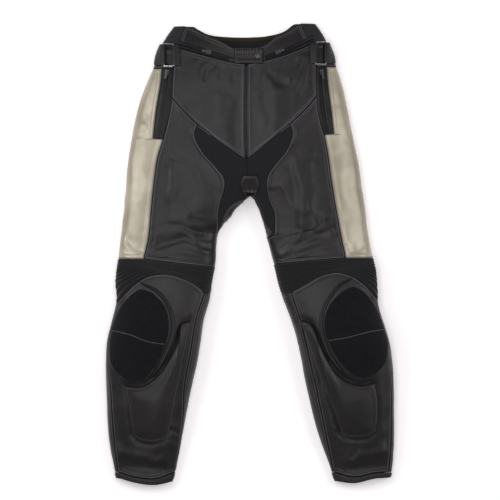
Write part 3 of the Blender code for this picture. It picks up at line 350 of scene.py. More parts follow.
def surface(side, turn, y):
    """Point of the outer skin. turn is 0 at the outer fold and 1 at the inner fold or centre line
    of the top; from 1 to 2, and from -1 to 0, it comes back along the underside."""
    turn = np.where(turn > 1, turn - 2, turn)
    outer, inner, top, fold = section(side, y)
    close = closing(y)
    reach = (inner - outer) / (1 + close)
    across = -np.cos(np.abs(turn) * np.arccos(-close))
    x = outer + reach * (1 + across)
    dome = (1 - np.minimum(np.abs(across), 1) ** DOME) ** (1 / DOME)
    past = np.clip((np.abs(across) - FLAT_SHARE) / (1 - FLAT_SHARE), 0, 1)
    above = fold + (top - fold + relief(side, x, y)) * dome
    below = fold * (1 - np.sqrt(1 - past ** 2))
    return np.stack([x, y + 0 * x, np.where(turn >= 0, above, below)], axis=-1)


def turn_at(side, x, y):
    """The turn of a place seen from above; past a fold, x goes on round it."""
    outer, inner = section(side, y)[:2]
    close = closing(y)
    reach = (inner - outer) / (1 + close)
    gone = (x - outer) / reach
    widest = np.arccos(-close)
    below = np.arccos(np.clip(1 - np.abs(gone), -1, 1)) / widest
    past_inner = np.arccos(np.clip(gone - 3, -1, 1)) / widest
    turn = np.where(gone < 0, -below, np.arccos(np.clip(1 - gone, -1, 1)) / widest)
    return np.where((gone > 2) & (close >= 1), 2 - past_inner, turn)


def outward(side, turn, y):
    """Unit normal of the skin, from the steps round the ring and along the leg."""
    step, stride = 0.004, 0.5
    tube = closing(y + stride) >= 1
    low, high = np.where(turn > 1, 1.0, -1.0), np.where(turn > 1, 3.0, 1.0)
    ahead = np.where(tube, turn + step, np.minimum(turn + step, high))
    behind = np.where(tube, turn - step, np.maximum(turn - step, low + HAIR))
    around = surface(side, ahead, y) - surface(side, behind, y)
    along = surface(side, turn, y + stride) - surface(side, turn, y - stride)
    facing = np.cross(around, along) if side == "left" else np.cross(along, around)
    return facing / np.linalg.norm(facing, axis=-1, keepdims=True)


# %% [markdown]
# Leather never lies smooth. It pulls into soft creases at the hip, crotch and knee, and rolls
# gently everywhere else. The main creases are placed one by one, as on the real pair. Each is a
# trough with a fuller roll beside it, which is how thick leather folds.

# %% Creases of the front, and of the back
# Points along the crease, its half width, its depth (below 0 is a ridge)
CREASES = {
    "left": (
        (((-75, 405), (-92, 392), (-97, 375)), 5, 1.8),
        (((-104, 412), (-113, 398)), 4, 1.3),
        (((-60, 398), (-66, 380)), 4, 1.1),
        (((-34, 396), (-37, 372)), 4, 0.9),
        (((-150, 390), (-139, 350), (-136, 320)), 7, 1.2),
        (((-24, 330), (-34, 270), (-30, 232)), 8, 1.1),
        (((-172, 205), (-150, 200), (-141, 196)), 4, 1.4),
        (((-166, 190), (-163, 150), (-170, 118)), 11, -1.8),
        (((-178, 180), (-181, 140), (-190, 100)), 8, 1.3),
        (((-112, 200), (-92, 168), (-84, 130), (-92, 96)), 7, 1.5),
        (((-200, 12), (-172, 22), (-140, 32), (-96, 12)), 6, 2.6),
        (((-213, 48), (-180, 62), (-148, 58), (-110, 44)), 6, 2.0),
        (((-198, -8), (-160, 4), (-118, -2), (-84, -10)), 5, 2.0),
        (((-126, 74), (-104, 66), (-82, 72)), 5, 1.6),
        (((-136, 104), (-120, 86), (-98, 84)), 5, 1.3),
        (((-70, 24), (-92, 20), (-108, 26)), 4, 1.5),
        (((-249, 320), (-243, 300), (-232, 286)), 7, 2.2),
        (((-262, 262), (-242, 250), (-226, 258)), 6, 1.4),
        (((-246, 200), (-236, 160), (-240, 120)), 6, 1.0),
        (((-262, 26), (-248, 8), (-232, 4)), 5, 2.2),
        (((-268, 6), (-250, -6)), 4, 1.6),
        (((-150, -390), (-166, -380), (-177, -386)), 4, 1.6),
        (((-152, -408), (-168, -398), (-180, -402)), 4, 1.2),
        (((-232, -282), (-212, -290), (-196, -280)), 4, 1.5),
        (((-240, -294), (-218, -300), (-196, -292)), 4, 1.1),
        (((-270, -440), (-240, -446), (-200, -440)), 6, 0.9),
        (((-186, -470), (-196, -440), (-193, -418)), 5, 1.2),
        (((-282, -340), (-276, -390), (-272, -440)), 5, 1.0),
    ),
    "right": (
        (((98, 412), (78, 392), (60, 366)), 7, 2.0),
        (((42, 386), (56, 372), (72, 362)), 7, 1.4),
        (((74, 412), (66, 400), (52, 394)), 4, 1.4),
        (((124, 408), (116, 372), (106, 344)), 6, 1.6),
        (((112, 416), (104, 392), (92, 376)), 4, 1.7),
        (((136, 400), (132, 370)), 4, 1.2),
        (((30, 394), (26, 372)), 4, 1.0),
        (((28, 338), (44, 290), (34, 244)), 8, 1.2),
        (((92, 214), (116, 212), (138, 214)), 4, 1.4),
        (((96, 196), (114, 130), (108, 56)), 10, -2.0),
        (((84, 200), (98, 140), (90, 72)), 7, 1.5),
        (((128, 190), (136, 140), (130, 80)), 8, 1.0),
        (((42, 168), (58, 138), (80, 92), (70, 52)), 6, 2.2),
        (((62, 160), (86, 108), (84, 60)), 7, -1.4),
        (((56, 120), (66, 88), (60, 50)), 4, 1.6),
        (((90, 14), (140, 34), (178, 52)), 6, 2.6),
        (((104, -4), (144, 10), (196, 18)), 6, 2.2),
        (((70, 8), (92, 30), (104, 52)), 5, 1.8),
        (((128, 100), (142, 84), (152, 60)), 5, 1.2),
        (((170, 70), (182, 42), (198, 24)), 5, 1.6),
        (((232, 292), (224, 262), (206, 240)), 6, 1.6),
        (((214, 200), (208, 160), (212, 120)), 6, 1.0),
        (((252, 28), (236, 8), (214, 2)), 5, 2.0),
        (((182, -366), (196, -378), (212, -388)), 4, 1.5),
        (((184, -384), (204, -398), (220, -400)), 4, 1.2),
        (((200, -272), (226, -290), (246, -284)), 4, 1.6),
        (((206, -284), (232, -300), (252, -294)), 4, 1.1),
        (((292, -438), (262, -444), (220, -440)), 6, 0.9),
        (((206, -468), (214, -444), (228, -430)), 5, 1.2),
        (((296, -340), (298, -390), (294, -440)), 5, 1.0),
    ),
}
BACK_CREASES = {
    "left": (
        (((-20, 150), (-60, 172), (-110, 178)), 6, 2.0),
        (((-30, 120), (-80, 128), (-130, 118)), 6, 1.8),
        (((-60, 80), (-110, 88), (-170, 76)), 6, 1.5),
        (((-80, 10), (-140, 22), (-200, 8)), 7, 1.9),
        (((-90, -30), (-150, -22), (-220, -36)), 6, 1.9),
        (((-95, -84), (-160, -92), (-240, -82)), 6, 2.0),
        (((-110, -130), (-170, -138), (-236, -126)), 6, 1.6),
        (((-140, -240), (-200, -252), (-262, -244)), 8, 1.1),
        (((-160, -360), (-210, -372), (-262, -362)), 8, 1.1),
        (((-60, 380), (-66, 320), (-58, 260)), 9, 1.2),
        (((-150, 350), (-160, 280), (-150, 210)), 9, 1.2),
    ),
    "right": (
        (((16, 146), (58, 166), (108, 170)), 6, 2.0),
        (((30, 112), (78, 124), (128, 110)), 6, 1.8),
        (((48, 66), (100, 80), (160, 64)), 6, 1.5),
        (((62, 4), (120, 16), (180, 0)), 7, 1.9),
        (((70, -36), (130, -26), (200, -42)), 6, 1.9),
        (((78, -88), (140, -96), (220, -86)), 6, 2.0),
        (((96, -136), (160, -144), (226, -130)), 6, 1.6),
        (((130, -250), (190, -258), (256, -250)), 8, 1.1),
        (((160, -370), (214, -378), (270, -368)), 8, 1.1),
        (((52, 372), (62, 312), (50, 254)), 9, 1.2),
        (((136, 344), (146, 276), (138, 206)), 9, 1.2),
    ),
}


# The roll beside a crease: its height as a share of the depth, then its place, its half width and
# where it ends, as shares of the crease's half width
ROLL_SHARE, ROLL_PLACE, ROLL_WIDTH, ROLL_END = 0.6, 1.9, 1.3, 4
# The leather's rolling: its height, the size of its lattice and the seed of its draw
NOISE = {"broad": (0.45, 26, 5), "fine": (0.22, 11, 6), "edge": (0.35, 17, 8)}
FADE = 6  # the creases fade in over a sixth of a turn from each fold
FOLD_TURN = -0.12  # up to here, behind the outer fold, the fold's own rolling goes on
UNDER_DROP, EDGE_DROP = 0.4, 0.2  # how far the back and the folds lie in from the plain skin


def away_from(points, x, y):
    """Signed distance of each place from a line through points, and the plain distance."""
    best = np.full(np.shape(x), 1e9)
    signed = np.zeros(np.shape(x))
    for (x0, y0), (x1, y1) in zip(points[:-1], points[1:]):
        run = math.hypot(x1 - x0, y1 - y0)
        along = np.clip(((x - x0) * (x1 - x0) + (y - y0) * (y1 - y0)) / run ** 2, 0, 1)
        away = np.hypot(x - x0 - along * (x1 - x0), y - y0 - along * (y1 - y0))
        aside = ((x - x0) * (y1 - y0) - (y - y0) * (x1 - x0)) / run
        nearer = away < best
        signed = np.where(nearer, np.where(aside < 0, -away, away), signed)
        best = np.minimum(best, away)
    return signed, best


def creased(table, x, y):
    """Height of all the creases at a place: a trough, exp(-(s/w)^2), with part of a wider roll beside
    it, where s is the signed distance from the crease and w its half width. Both fade past its ends."""
    height = np.zeros(np.shape(x))
    for points, width, depth in table:
        signed, best = away_from(points, x, y)
        trough = np.exp(-((signed / width) ** 2))
        roll = np.exp(-(((signed - ROLL_PLACE * width) / (ROLL_WIDTH * width)) ** 2))
        height += depth * (ROLL_SHARE * roll * (best < ROLL_END * width) - trough)
    return height


def grooved(side, x, y):
    """Depth of the embossed groove round the shin guard, which lies in the leather around it."""
    edges = ("shin_top", "shin_bottom", "shin_outer", "shin_inner")
    near = np.minimum.reduce([away_from(SEAMS[side][edge], x, y)[1] for edge in edges])
    return GROOVE * np.exp(-((near / (2 * GROOVE)) ** 2))


def rolling(x, y, size, seed):
    """Smooth noise: random heights on a square lattice of the given size, joined by smooth steps."""
    lattice = np.random.default_rng(seed).uniform(-1, 1, (64, 64))
    u, v = x / size + 31.3, y / size + 31.7
    i, j = np.floor(u).astype(int), np.floor(v).astype(int)
    s, t = u - i, v - j
    s, t = s * s * (3 - 2 * s), t * t * (3 - 2 * t)
    i, j = i % 63, j % 63
    near = lattice[i, j] * (1 - s) + lattice[i + 1, j] * s
    far = lattice[i, j + 1] * (1 - s) + lattice[i + 1, j + 1] * s
    return near * (1 - t) + far * t


def waved(kind, x, y):
    """One of the leather's rolling noises at a place."""
    height, size, seed = NOISE[kind]
    return height * rolling(x, y, size, seed)


def rumpled(side, turn, y):
    """How far the leather stands off the plain skin: creases and noise on top, and only hollows
    underneath, where the garment rests on the surface."""
    x = surface(side, turn, y)[..., 0]
    folded = np.where(turn > 1, turn - 2, turn)
    inner_share = np.where(closing(y) >= 1, np.clip((1 - folded) * FADE, 0, 1), 1)
    share = np.clip(folded * FADE, 0, 1) * inner_share
    soft = waved("broad", x, y) + waved("fine", x, y)
    top = FOLD_DEPTH * creased(CREASES[side], x, y) + soft - grooved(side, x, y)
    under = np.minimum(creased(BACK_CREASES[side], x, y) + soft - UNDER_DROP, 0)
    edge = waved("edge", y, x) - EDGE_DROP
    behind = np.where(folded > FOLD_TURN, edge, under)
    return np.where(folded > 0, share * top + (1 - share) * edge, behind)


print("creases:", sum(len(table) for table in (*CREASES.values(), *BACK_CREASES.values())))

# %% [markdown]
# A cut piece is a patch between four seams. Opposite seams are mixed in straight steps, which is a
# Coons patch, so the rows of the mesh follow the cloth's grain. Near a seam the rows are closer,
# because there the leather is turned down into the seam.

# %% Seams and patches
def route(points, count):
    """A seam's points, evened out along a smooth curve through them: count steps of like length."""
    points = np.array(points, float)
    gone = np.concatenate([[0], np.cumsum(np.linalg.norm(np.diff(points, axis=0), axis=1))])
    where = np.linspace(0, gone[-1], count + 1)
    if len(points) == 2:
        return points[0] + np.linspace(0, 1, count + 1)[:, None] * (points[1] - points[0])
    return np.stack([smooth(gone, points[:, i], where) for i in (0, 1)], axis=-1)


def seam(side, name, count):
    """A named seam of one side as (x, y) points."""
    return route(SEAMS[side][name], count)


def joined(*parts):
    """Seams one after the other, with no point twice."""
    return np.concatenate([parts[0]] + [part[1:] for part in parts[1:]])


def side_sign(side):
    return -1 if side == "left" else 1


def outer_back(side, y):
    """x of the seam behind the outer fold."""
    y = np.asarray(y, float)
    return section(side, y)[0] + side_sign(side) * (OUTER_WRAP[0] + OUTER_WRAP[1] * y)


def inner_back(side, y):
    """x of the seam behind the inner fold of the leg."""
    y = np.asarray(y, float)
    return section(side, y)[1] - side_sign(side) * np.interp(y, *INNER_WRAP)


def centre(side, y, aside=0.0):
    """x of the centre line, or a little to this side of it."""
    return section(side, np.asarray(y, float))[1] + side_sign(side) * aside


def line(x_of, side, y_from, y_to, count, *more):
    """Points of a line that is given as x from y."""
    y = np.linspace(y_from, y_to, count + 1)
    return np.stack([x_of(side, y, *more), y], axis=-1)


def unrolled(side, points, under=False):
    """(x, y) points as (turn, y); under puts them on the underside, counted on from the inner fold."""
    turn = turn_at(side, points[:, 0], points[:, 1])
    return np.stack([2 - np.abs(turn) if under else turn, points[:, 1]], axis=-1)


def box_of(side, *borders):
    """Borders in (x, y) as borders in (turn, y)."""
    return [unrolled(side, points) for points in borders]


def blended(top, bottom, left, right):
    """Grid between four borders that meet at their ends: a Coons patch."""
    r = np.linspace(0, 1, len(left))[:, None, None]
    c = np.linspace(0, 1, len(top))[None, :, None]
    corners = (
        (1 - r) * (1 - c) * top[0] + (1 - r) * c * top[-1] + r * (1 - c) * bottom[0] + r * c * bottom[-1]
    )
    sides = (1 - c) * left[:, None] + c * right[:, None]
    ends = (1 - r) * top[None] + r * bottom[None]
    return sides + ends - corners


def by_angle(borders):
    """Patch between borders of (turn, y), mixed as angles round the ring. Above the crotch it stays
    on the front, so no point slips past the centre line to the underside."""
    widest = [np.stack([np.arccos(-closing(b[:, 1])), np.ones(len(b))], axis=-1) for b in borders]
    grid = blended(*[b * w for b, w in zip(borders, widest)])
    grid[..., 0] /= np.arccos(-closing(grid[..., 1]))
    grid[..., 0] = np.where(closing(grid[..., 1]) < 1, np.minimum(grid[..., 0], 1), grid[..., 0])
    return grid


def lying_flat(side, borders):
    """Patch between borders of (turn, y), mixed as x on the underside, as if the inner fold was opened
    out: an x past it is on the front."""
    opened = []
    for border in borders:
        x = surface(side, border[:, 0], border[:, 1])[:, 0]
        inner = section(side, border[:, 1])[1]
        opened.append(np.stack([np.where(border[:, 0] < 1, 2 * inner - x, x), border[:, 1]], axis=-1))
    grid = blended(*opened)
    grid[..., 0] = 2 - turn_at(side, grid[..., 0], grid[..., 1])
    return grid


def edged(grid):
    """The grid with three more rows and columns close to each border, where the leather rolls."""
    for axis in (0, 1):
        last = grid.shape[axis] - 1
        near = np.array([0, 0.1, 0.25, 0.5])
        where = np.concatenate([near, np.arange(1, last), last - near[::-1]])
        low = np.minimum(where.astype(int), last - 1)
        share = (where - low).reshape(-1, 1, 1) if axis == 0 else (where - low).reshape(1, -1, 1)
        grid = np.take(grid, low, axis) * (1 - share) + np.take(grid, low + 1, axis) * share
    return grid


def spread(values):
    """Values along one border, spaced as edged spaces the rows and columns."""
    return edged(np.stack([values, values])[..., None])[0, :, 0]


def between(left, right, count):
    """Four borders of a strip between two seams, whose ends are joined by straight lines."""
    ends = [route((left[i], right[i]), count) for i in (0, -1)]
    return (*ends, left, right)


def skin(side, grid, lift=0.0):
    """Points of the skin at a (turn, y) grid in millimetres, moved out by lift."""
    turn, y = grid[..., 0], grid[..., 1]
    lift = np.broadcast_to(lift, turn.shape)[..., None]
    return surface(side, turn, y) + outward(side, turn, y) * lift + np.array(SHIFT)


def run_lengths(points, axis):
    """Length gone along the rows or columns of a grid of points, from its first edge."""
    steps = np.linalg.norm(np.diff(points, axis=axis), axis=-1)
    first = np.zeros_like(np.take(steps, [0], axis))
    return np.concatenate([first, np.cumsum(steps, axis=axis)], axis=axis)


def seam_distances(points):
    """Distance on the cloth from each point to the top, bottom, left and right border."""
    down, across = run_lengths(points, 0), run_lengths(points, 1)
    return down, down[-1:] - down, across, across[:, -1:] - across


# %% [markdown]
# One function turns a grid into a closed wall. It also keeps the cloth's own measure as a UV map in
# metres, so a weave or a rib pattern follows the piece, and the distance to the nearest seam, so the
# leather can be made duller there and darkened with painted shade.

# %% From grids to meshes
def strip(first, second):
    """Quads between two equal grids of vertex numbers, one row apart."""
    return np.stack(
        [first[:, :-1], second[:, :-1], second[:, 1:], first[:, 1:]], axis=-1
    ).reshape(-1, 4)


def wall(name, outer, inner, loop=False, near=None):
    """Closed wall between two grids of points in millimetres; loop joins its last column to its first."""
    rows, columns = outer.shape[:2]
    points = np.concatenate([outer.reshape(-1, 3), inner.reshape(-1, 3)]) * MM
    index = np.arange(rows * columns).reshape(rows, columns)
    if loop:
        index = np.concatenate([index, index[:, :1]], axis=1)
    under = index + rows * columns
    quads = [
        strip(index[:-1], index[1:]), strip(under[1:], under[:-1]),
        strip(under[:1], index[:1]), strip(index[-1:], under[-1:]),
    ]
    if not loop:
        quads.append(strip(index[:, :1].T, under[:, :1].T))
        quads.append(strip(under[:, -1:].T, index[:, -1:].T))
    across, down = run_lengths(outer, 1) * MM, run_lengths(outer, 0) * MM
    measure = np.tile(np.stack([across, down], axis=-1).reshape(-1, 2), (2, 1))
    near = np.full(rows * columns, 20.0) if near is None else near.reshape(-1)
    return mesh_of(name, points, np.concatenate(quads), measure, np.tile(near, 2))


def mesh_of(name, points, quads, measure=None, near=None):
    """Smooth mesh with its faces outwards: they are turned if the volume that they enclose is below 0."""
    corners = points[quads]
    volume = np.einsum("ij,ij->i", corners[:, 0], np.cross(corners[:, 1], corners[:, 2])).sum()
    volume += np.einsum("ij,ij->i", corners[:, 0], np.cross(corners[:, 2], corners[:, 3])).sum()
    if volume < 0:
        quads = quads[:, ::-1]
    mesh = bpy.data.meshes.new(name)
    mesh.from_pydata(points.tolist(), [], quads.tolist())
    mesh.shade_smooth()
    if measure is not None:
        loops = np.empty(len(mesh.loops), int)
        mesh.loops.foreach_get("vertex_index", loops)
        layer = mesh.uv_layers.new(name="Cloth")
        layer.data.foreach_set("uv", measure[loops].astype(np.float32).ravel())
    if near is not None:
        seam_layer = mesh.attributes.new("seam_mm", "FLOAT", "POINT")
        seam_layer.data.foreach_set("value", near.astype(np.float32))
    return mesh


def dressed(name, mesh, material, nodes=(), body=BODY):
    """A piece of the scene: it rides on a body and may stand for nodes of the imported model."""
    piece = bpy.data.objects.new(f"sewn_{name}", mesh)
    bpy.context.scene.collection.objects.link(piece)
    mesh.materials.clear()
    mesh.materials.append(MATERIALS[material])
    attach(piece, body)
    if nodes:
        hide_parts(*nodes)
    return piece


def flat_size(outer):
    """Width, length and area of a cut piece in metres, measured on its grid. A cut that curves, and
    fills little of its rectangle, is measured as if it were straightened."""
    width = np.linalg.norm(np.diff(outer, axis=1), axis=-1).sum(axis=1).max() * MM
    length = np.linalg.norm(np.diff(outer, axis=0), axis=-1).sum(axis=0).max() * MM
    a, b, c, d = outer[:-1, :-1], outer[:-1, 1:], outer[1:, 1:], outer[1:, :-1]
    area = np.linalg.norm(np.cross(c - a, d - b), axis=-1).sum() / 2 * MM * MM
    if area < 0.4 * width * length:
        width = area / (0.5 * length)
    return (float(width), float(length)), float(min(area, width * length))


def shoulder(near, width, drop):
    """How far an edge is turned down: a quarter round, drop deep at the border and width wide."""
    inside = np.clip(near / width, 0, 1)
    return drop * (1 - np.sqrt(1 - (1 - inside) ** 2))


def resting(outer, inner):
    """Both faces of a wall, kept above the surface that the garment lies on."""
    outer[..., 2] = np.maximum(outer[..., 2], 0)
    inner[..., 2] = np.maximum(inner[..., 2], LEAST_HEIGHT)
    return outer, inner


def told(name, size, area, piece):
    """Prints the flat size of a cut piece and its number of faces."""
    print(
        f"{name}: {size[0] * 1000:.0f} x {size[1] * 1000:.0f} mm, {area * 1e4:.0f} cm2,",
        len(piece.data.polygons), "faces",
    )


PANELS = {}


def panel(
    name, side, material, borders,
    thick=LEATHER, high=0.0, roll=1.3, flat=False,
):
    """A cut piece between four seams. Its outer face is the skin, plus its creases, plus high, minus
    a quarter round of the width ROLL along each border, where it is turned into the seam."""
    grid = edged(lying_flat(side, borders) if flat else by_angle(borders))
    plain = skin(side, grid)
    near = np.minimum.reduce(seam_distances(plain))
    lift = rumpled(side, grid[..., 0], grid[..., 1])
    outer = skin(side, grid, lift + high - shoulder(near, ROLL, roll))
    faces = resting(outer, skin(side, grid, lift - thick))
    piece = dressed(name, wall(name, *faces, near=near), material, (name,))
    size, area = flat_size(plain)
    PANELS[name] = (side, grid, lift + high)
    told(name, size, area, piece)


# %% [markdown]
# The finishes come next, because a piece takes its finish when it is made. Colours are sRGB hex
# values, which one function turns to linear light. One helper adds a node with its settings and
# links. Each finish is named for what the real material is.

# %% Colour and node helpers
def linear(channel):
    """One sRGB channel from 0 to 1 as linear light."""
    return channel / 12.92 if channel <= 0.04045 else ((channel + 0.055) / 1.055) ** 2.4


def hex_colour(text):
    """An sRGB hex value as a linear RGBA colour."""
    return (*[linear(int(text[i:i + 2], 16) / 255) for i in (1, 3, 5)], 1.0)


def add(tree, kind, settings=None, links=None):
    """Adds one node. settings are its properties or input values, links its inputs from sockets."""
    node = tree.nodes.new(f"ShaderNode{kind}")
    for key, value in (settings or {}).items():
        if isinstance(key, int) or key in node.inputs:
            node.inputs[key].default_value = value
        else:
            setattr(node, key, value)
    for key, socket in (links or {}).items():
        tree.links.new(socket, node.inputs[key])
    return node


def new_material(name, **shader_values):
    """A material with its Principled shader's own sockets set to the constant values."""
    material = bpy.data.materials.new(name)
    material.use_nodes = True
    shader = material.node_tree.nodes["Principled BSDF"]
    for key, value in shader_values.items():
        shader.inputs[key.replace("_", " ")].default_value = value
    material.diffuse_color = shader.inputs["Base Color"].default_value
    return material, material.node_tree, shader


def ramp(tree, factor, dark, light, low=0.3, high=0.7):
    """A colour ramp between two hex colours."""
    node = add(tree, "ValToRGB", links={"Fac": factor})
    node.color_ramp.elements[0].position = low
    node.color_ramp.elements[1].position = high
    node.color_ramp.elements[0].color = hex_colour(dark)
    node.color_ramp.elements[1].color = hex_colour(light)
    return node.outputs["Color"]


def tinted(tree, shader, factor, dark, light, low=0.3, high=0.7):
    """Colours the shader by a ramp between two hex colours."""
    tree.links.new(ramp(tree, factor, dark, light, low, high), shader.inputs["Base Color"])


def dented(tree, shader, strength, depth, height):
    """Gives the shader a bump, its depth in metres."""
    bump = add(tree, "Bump", {"Strength": strength, "Distance": depth}, {"Height": height})
    tree.links.new(bump.outputs["Normal"], shader.inputs["Normal"])


def plus_share(tree, share, of, base):
    """A share of one value added to another."""
    return add(tree, "Math", {"operation": "MULTIPLY_ADD", 1: share}, {0: of, 2: base}).outputs[0]


def profile(tree, factor, stops):
    """A smooth curve of grey values: stops are (position, value)."""
    node = add(tree, "ValToRGB", links={"Fac": factor})
    node.color_ramp.interpolation = "B_SPLINE"
    while len(node.color_ramp.elements) < len(stops):
        node.color_ramp.elements.new(0.5)
    for element, (position, value) in zip(node.color_ramp.elements, stops):
        element.position = position
        element.color = (value, value, value, 1)
    return node.outputs["Color"]


def object_scale(tree, size_mm, kind="TexNoise", **settings):
    """A pattern on Object coordinates whose features are about size_mm wide."""
    place = add(tree, "TexCoord")
    return add(
        tree, kind, {"Scale": 1000 / size_mm, **settings}, {"Vector": place.outputs["Object"]}
    )


# %% [markdown]
# Full-grain cowhide, dyed black and given a satin topcoat. Three things show: a pebbled grain, soft
# pull marks a few centimetres long where the hide was stretched, and a topcoat that is duller in the
# seams, where painted shade also darkens the colour. The doubled edge beside a seam stands up about
# 9 mm wide, with two dents along it. The grain is about 0.8 mm on the real hide, and is drawn at
# 2.2 mm so that it still reads from above the whole garment.

# %% Leathers
GRAIN_MM = 2.2
FELL_MM = 14.0  # from a seam to where the profile of its doubled edge ends
FELL = ((0.0, 0.2), (0.1, 0.9), (0.19, 0.55), (0.3, 1.0), (0.45, 0.7), (0.56, 0.9), (0.72, 0.0), (1.0, 0.0))


def leather(name, dark, light, roughness, metallic=0.0, grain=0.00012, coat=0.0, specular=0.36):
    """Hide with a Voronoi pebble grain, broad mottling, and painted shade darkening the seams, which an edge
    attribute also makes duller.
    """
    material, tree, shader = new_material(
        name, Base_Color=hex_colour(light), Metallic=metallic, Coat_Weight=coat, Coat_Roughness=0.25,
        Specular_IOR_Level=specular,
    )
    pebbles = object_scale(tree, GRAIN_MM, "TexVoronoi", feature="SMOOTH_F1", Smoothness=0.6)
    pulls = object_scale(tree, 34, "TexNoise", Detail=3.0, Distortion=0.8)
    clouds = object_scale(tree, 90, "TexNoise", Detail=2.0)
    colour = ramp(tree, clouds.outputs["Fac"], dark, light, 0.35, 0.65)
    seam_distance = add(tree, "Attribute", {"attribute_name": "seam_mm"})
    # Within 3 mm of a seam: painted shade darkens the colour, and the roughness rises as on rubbed leather
    seam_shade_and_rub = add(
        tree, "MapRange", {"From Min": 0.4, "From Max": 3.0, "To Min": 1.0, "To Max": 0.0},
        {"Value": seam_distance.outputs["Fac"]},
    )
    # Painted shade: a grey multiplied into the colour along the seams
    seam_painted_shade = add(
        tree, "Mix", {"data_type": "RGBA", "blend_type": "MULTIPLY", 7: hex_colour("#77747a")},
        {0: seam_shade_and_rub.outputs["Result"], 6: colour},
    )
    tree.links.new(seam_painted_shade.outputs[2], shader.inputs["Base Color"])
    gloss = add(
        tree, "MapRange", {"To Min": roughness - 0.07, "To Max": roughness + 0.1},
        {"Value": pulls.outputs["Fac"]},
    )
    rubbed = plus_share(tree, 0.25, seam_shade_and_rub.outputs["Result"], gloss.outputs["Result"])
    tree.links.new(rubbed, shader.inputs["Roughness"])
    broad = add(tree, "Bump", {"Strength": 0.6, "Distance": 0.0011}, {"Height": pulls.outputs["Fac"]})
    away = add(tree, "Math", {"operation": "DIVIDE", 1: FELL_MM}, {0: seam_distance.outputs["Fac"]})
    fell = add(
        tree, "Bump", {"Strength": 1.0, "Distance": 0.0013},
        {"Height": profile(tree, away.outputs[0], FELL), "Normal": broad.outputs["Normal"]},
    )
    fine = add(
        tree, "Bump", {"Strength": 0.5, "Distance": grain},
        {"Height": pebbles.outputs["Distance"], "Normal": fell.outputs["Normal"]},
    )
    tree.links.new(fine.outputs["Normal"], shader.inputs["Normal"])
    return material


# %% [markdown]
# Stretch cloths: a matte warp knit in the gussets and over the knees, woven elastic at the waist, and
# a looped pile on the knee where a slider is pressed on. None of them shines, but knitted nylon has
# a soft sheen at grazing angles. Their threads follow the cloth, so the pattern reads the UV map.

# %% Cloths
def woven(name, colour, light, wale_mm, course_mm, depth, roughness=0.85, sheen=0.25):
    """Cloth with wales and courses: two wave patterns on the cloth's own measure, in real sizes."""
    material, tree, shader = new_material(
        name, Base_Color=hex_colour(colour), Roughness=roughness, Sheen_Weight=sheen,
        Sheen_Roughness=0.5, Specular_IOR_Level=0.25,
    )
    measure = add(tree, "UVMap", {"uv_map": "Cloth"})
    split = add(tree, "SeparateXYZ", links={"Vector": measure.outputs["UV"]})
    waves = []
    for axis, pitch in (("X", wale_mm), ("Y", course_mm)):
        per_metre = 2 * math.pi * 1000 / pitch
        angle = add(tree, "Math", {"operation": "MULTIPLY", 1: per_metre}, {0: split.outputs[axis]})
        waves.append(add(tree, "Math", {"operation": "SINE"}, {0: angle.outputs[0]}).outputs[0])
    both = add(tree, "Math", {"operation": "ADD"}, {0: waves[0], 1: waves[1]})
    threads = add(tree, "MapRange", {"From Min": -2.0, "From Max": 2.0}, {"Value": both.outputs[0]})
    fuzz = object_scale(tree, 5, "TexNoise", Detail=4.0)
    mixed = plus_share(tree, 0.5, fuzz.outputs["Fac"], threads.outputs["Result"])
    tinted(tree, shader, mixed, colour, light, 0.4, 1.2)
    dented(tree, shader, 0.7, depth * MM, threads.outputs["Result"])
    return material


def looped_pile(name, colour, light):
    """Pile of small loops: a fine Voronoi for the tufts over coarser brushed patches."""
    material, tree, shader = new_material(
        name, Base_Color=hex_colour(colour), Roughness=1.0, Sheen_Weight=0.12, Specular_IOR_Level=0.1,
    )
    tufts = object_scale(tree, 2.4, "TexVoronoi", feature="F1")
    patches = object_scale(tree, 14, "TexNoise", Detail=4.0, Roughness=0.7)
    mixed = plus_share(tree, 0.6, tufts.outputs["Distance"], patches.outputs["Fac"])
    tinted(tree, shader, mixed, colour, light, 0.45, 0.95)
    dented(tree, shader, 0.8, 0.0006, tufts.outputs["Distance"])
    return material


# %% [markdown]
# Hard and small things: laminated zip tape with a soft gloss, spun thread lighter than the leather,
# nickel-chromed wire for the rings, and dark plated zinc for sliders, pulls and the stud.

# %% Trim and metal
def glossy_tape(name, colour, light):
    """Zip tape with a film laminated on: a soft gloss, and a faint ripple along the tape."""
    material, tree, shader = new_material(
        name, Base_Color=hex_colour(colour), Roughness=0.38, Specular_IOR_Level=0.22,
    )
    ripple = object_scale(tree, 9, "TexNoise", Detail=2.0)
    tinted(tree, shader, ripple.outputs["Fac"], colour, light)
    dented(tree, shader, 0.4, 0.0004, ripple.outputs["Fac"])
    return material


def plated(name, colour, light, roughness):
    """Plated metal: brushed a little unevenly, so its roughness wanders."""
    material, tree, shader = new_material(
        name, Base_Color=hex_colour(light), Metallic=1.0, Roughness=roughness,
    )
    rub = object_scale(tree, 3, "TexNoise", Detail=3.0)
    brushed = add(
        tree, "MapRange", {"To Min": roughness - 0.06, "To Max": roughness + 0.1},
        {"Value": rub.outputs["Fac"]},
    )
    tree.links.new(brushed.outputs["Result"], shader.inputs["Roughness"])
    tinted(tree, shader, rub.outputs["Fac"], colour, light)
    return material


def spun_thread(name, colour, light):
    """Bonded nylon thread: its two plies show as a fine twist across the stitch."""
    material, tree, shader = new_material(
        name, Base_Color=hex_colour(light), Roughness=0.6, Specular_IOR_Level=0.4,
    )
    twist = object_scale(tree, 1.5, "TexNoise", Detail=2.0)
    tinted(tree, shader, twist.outputs["Fac"], colour, light)
    return material


